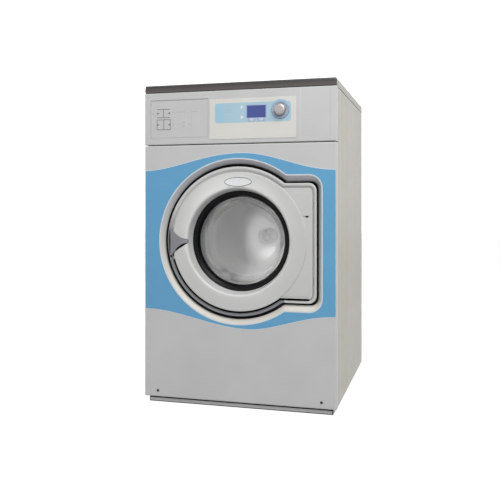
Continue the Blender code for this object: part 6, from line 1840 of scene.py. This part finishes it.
@dataclass
class Suspension:
    """The soft and sprung pieces between the cabinet and the tub."""

    axis: float = 0.570
    gasket: tuple[Triple, ...] = (
        (0.1718, 0.0997, 0), (0.1718, 0.0825, 0.002), (0.1900, 0.0740, 0.003),
        (0.1900, 0.0671, 0.0025), (0.1777, 0.0670, 0.001), (0.1777, 0.0581, 0.0015),
        (0.1672, 0.0581, 0.0012), (0.1672, 0.0616, 0.001), (0.1742, 0.0616, 0.001),
        (0.1742, 0.0705, 0.001), (0.1865, 0.0706, 0.0015), (0.1683, 0.0790, 0.002),
        (0.1683, 0.0997, 0))
    spring_x: float = 0.290
    spring_depth: float = 0.310
    coil_radius: float = 0.014
    wire_radius: float = 0.0020
    spring_low: float = 0.8023
    spring_high: float = 0.9977
    turns: int = 12
    ease: float = 0.045
    fill_top: Triple = (-0.1080, 0.1450, 0.9796)
    fill_end: Triple = (-0.1370, 0.1450, 0.8373)
    fill_radius: float = 0.0180
    sump_low: Triple = (-0.110, 0.400, 0.1726)
    sump_top: Triple = (-0.110, 0.400, 0.2885)
    sump_radius: float = 0.0285

    def cross(self, piece: Piece, start: Row, end: Row) -> None:
        """Bake the piece's transform into its mesh."""
        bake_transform(piece)

    def build_gasket(self) -> None:
        """The door gasket: a rubber lathe with a front lip and one fold."""
        gasket = Patchwork("door_gasket_rubber")
        profile = rounded([p[:2] for p in self.gasket], [p[2] for p in self.gasket], 5,
                          closed=True)
        gasket.turn(profile, (0, 0, self.axis), steps=160, closed=True)
        piece = gasket.build([Shop.gasket], "", "black_rubber", ["door_gasket"])
        self.cross(piece, (0, 0.066, self.axis), (0, 0.094, self.axis))

    def build_springs(self) -> None:
        """Two coil springs whose end turns lie close, as a helix of eased pitch."""
        share = np.linspace(0, 1, self.turns * 24 + 1)
        eased = share - self.ease * np.sin(TURN * share)
        turn = TURN * self.turns * share
        for side in Side:
            x = side.value * self.spring_x
            path = np.stack([x + self.coil_radius * np.cos(turn),
                             self.spring_depth + self.coil_radius * np.sin(turn),
                             self.spring_low + (self.spring_high - self.spring_low) * eased], -1)
            spring = Patchwork(f"spring_{side.word}_coil")
            spring.tube(path, self.wire_radius, 8)
            piece = spring.build([Shop.wire], "", "stainless", [f"spring_{side.word}"], sharp=1.2)
            self.cross(piece, (x, self.spring_depth, self.spring_high),
                       (x, self.spring_depth, self.spring_low))

    def hose(self, name: str, path: Array, radius: float, pitch: float, cuff: float) -> Piece:
        """A corrugated hose: its radius a sine wave between two plain cuffs."""
        step = np.linalg.norm(np.diff(path, axis=0), axis=1)
        run = np.concatenate([[0], np.cumsum(step)])
        inside = (run > cuff) & (run < run[-1] - cuff)
        wave = radius * (0.93 + 0.07 * np.cos(TURN * (run - cuff) / pitch))
        skin = Patchwork(name)
        skin.tube(path, np.where(inside, wave, radius), 28, up=(0, 1, 0))
        return skin.build([Shop.rubber], "", "black_rubber",
                          [name.replace("_rubber", "")], sharp=1.2)

    def build_hoses(self) -> None:
        """The fill hose down to the tub and the sump hose under it."""
        share = np.linspace(0, 1, 150)[:, None]
        ease = smooth((share - 0.15) / 0.7)
        top, end = np.array(self.fill_top), np.array(self.fill_end)
        path = top + (end - top) * np.concatenate([ease, ease, share], 1)
        piece = self.hose("fill_hose_rubber", path, self.fill_radius, 0.006, 0.014)
        self.cross(piece, top - [0, 0, 0.012], end + [0, 0, 0.012])
        low, high = np.array(self.sump_low), np.array(self.sump_top)
        path = low + (high - low) * share
        piece = self.hose("sump_hose_rubber", path, self.sump_radius, 0.010, 0.016)
        self.cross(piece, low + [0, 0, 0.014], high - [0, 0, 0.014])

    def build(self) -> None:
        """Build the gasket, the springs and the hoses."""
        self.build_gasket()
        self.build_springs()
        self.build_hoses()


@dataclass(frozen=True)
class Dresser:
    """Finishes for the CAD nodes that stay in view."""

    def finish(self, name: str) -> Finish:
        """The finish that a node's name asks for, galvanised where none does."""
        table = {
            Shop.cast: "hinge_bracket bearing_housing motor_housing drum_pulley door_frame",
            Shop.plastic: "lock_box soap_box inlet_valves drain_valve motor_drive",
            Shop.silver: "lock_bolt bearing_front bearing_rear motor_rotor encoder_shaft",
            Shop.dark: "cable_gland", Shop.board: "control_board", Shop.tub: "outer_tub",
            Shop.wire: "heating_element", Shop.rubber: "drive_belt", Shop.iron: "counterweight"}
        return next((made for made, names in table.items() if name in names.split()), Shop.zinc)

    def build(self) -> None:
        """Give each CAD node its finish through its own material slots."""
        for name, node in sorted(Frame.nodes.items()):
            made = self.finish(name).material()
            for slot in node.material_slots:
                slot.material = made


# Studio


@dataclass(frozen=True)
class Lamp:
    """A soft rectangular lamp that looks at a point, or a spot where it has an angle."""

    name: str
    place: Triple
    aim: Triple
    power: float
    size: Pair = (2.0, 2.0)
    angle: float = 0.0
    blend: float = 0.6
    soft: float = 0.10

    def build(self) -> None:
        """Make the lamp and turn it to its aim."""
        data = bpy.data.lights.new(self.name, "SPOT" if self.angle else "AREA")
        data.energy = self.power
        if self.angle:
            data.spot_size, data.spot_blend = self.angle, self.blend
            data.shadow_soft_size = self.soft
        else:
            data.shape = "RECTANGLE"
            data.size, data.size_y = self.size
        lamp = link(self.name, data)
        lamp.location = self.place
        way = np.asarray(self.aim, float) - np.asarray(self.place, float)
        lamp.rotation_euler = (math.acos(-way[2] / float(np.linalg.norm(way))), 0.0,
                               math.atan2(way[1], way[0]) - QUARTER)


@dataclass
class Studio:
    """Camera, floor, surroundings and lamps. The spot lights the drum through the window."""

    lens: float = 50.34
    shift: float = -0.092
    far: float = 50.0
    place: Triple = (0.677, -2.658, 0.698)
    turn: float = math.radians(15.45)
    sky: float = 0.35
    background: float = 1.35
    floor_reach: float = 14.0
    floor_grey: Quad = (0.6, 0.6, 0.6, 1.0)
    floor_white: float = 1.5
    floor_share: float = 0.6
    lamps: tuple[Lamp, ...] = (Lamp("key", (1.3, -2.2, 3.1), (0, 0, 0.7), 86.0, (2.2, 2.2)),
        Lamp("fill", (-2.6, -2.4, 1.2), (0, 0, 0.5), 3.0, (1.6, 2.2)),
        Lamp("window", (-0.25, -2.4, 1.65), (0.0, -0.324, 0.57), 320.0, angle=math.radians(7.0)),
        Lamp("back", (-1.6, 3.0, 2.6), (0, 0, 0.6), 60.0))

    def build_camera(self) -> None:
        """A level camera with a shifted lens, as the photograph's upright lines show."""
        data = bpy.data.cameras.new("photo_camera")
        data.lens, data.shift_y, data.clip_end = self.lens, self.shift, self.far
        camera = link("photo_camera", data)
        camera.location = self.place
        camera.rotation_euler = (QUARTER, 0.0, self.turn)
        bpy.context.scene.camera = camera

    @staticmethod
    def seen(tree: Tree) -> Socket:
        """One for a camera, glossy or transmitted ray, nought for the others."""
        path = add_node(tree, "LightPath")
        share = path.outputs["Is Camera Ray"]
        for name in ("Is Glossy Ray", "Is Transmission Ray"):
            most = add_node(tree, "Math", _0=share, _1=path.outputs[name])
            most.operation = "MAXIMUM"
            share = most.outputs[0]
        return share

    def build_floor(self) -> None:
        """A wide floor, white where it is seen, which keeps the machine's shadow."""
        mesh = bpy.data.meshes.new("floor")
        reach = self.floor_reach
        outline = spread(rectangle(-reach, reach, -reach, reach), 0.0, Axis.Z)
        mesh.from_pydata(outline.tolist(), [], [(0, 1, 2, 3)])
        graph = Graph("floor_white")
        graph.set(Base_Color=self.floor_grey, Roughness=0.9, Specular_IOR_Level=0.1)
        white = graph.node("Emission", Strength=self.floor_white)
        part = graph.node("Math", _0=self.seen(graph.tree), _1=self.floor_share)
        part.operation = "MULTIPLY"
        mix = graph.node("MixShader", _0=part.outputs[0], _1=graph.shader.outputs[0],
                         _2=white.outputs[0])
        fill(graph.tree, graph.out, Surface=mix.outputs[0])
        mesh.materials.append(graph.material)
        link("floor", mesh)

    def build_world(self) -> None:
        """White where the camera, a glossy or a transmitted ray looks, softer as light."""
        world = bpy.data.worlds.new("studio_world")
        bpy.context.scene.world = world
        world.use_nodes = True
        tree = world.node_tree
        tree.nodes.clear()
        light, white = (
            add_node(tree, "Background", Color=(1.0, 1.0, 1.0, 1.0), Strength=power).outputs[0]
            for power in (self.sky, self.background))
        mix = add_node(tree, "MixShader", _0=self.seen(tree), _1=light, _2=white)
        add_node(tree, "OutputWorld", Surface=mix.outputs[0])

    def build(self) -> None:
        """Build the whole studio."""
        self.build_camera()
        self.build_floor()
        self.build_world()
        for lamp in self.lamps:
            lamp.build()
        bpy.context.scene.view_settings.view_transform = "Standard"


def main() -> None:
    """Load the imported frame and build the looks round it."""
    logging.basicConfig(level=logging.INFO)
    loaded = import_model()
    Frame.read(loaded)
    Dresser().build()
    for part in (Studio(), FrontPanel(), Shell(), Controls(), Door(), Drum(), Suspension()):
        part.build()
        log.info("built the %s", type(part).__name__)


if __name__ == "__main__":
    main()
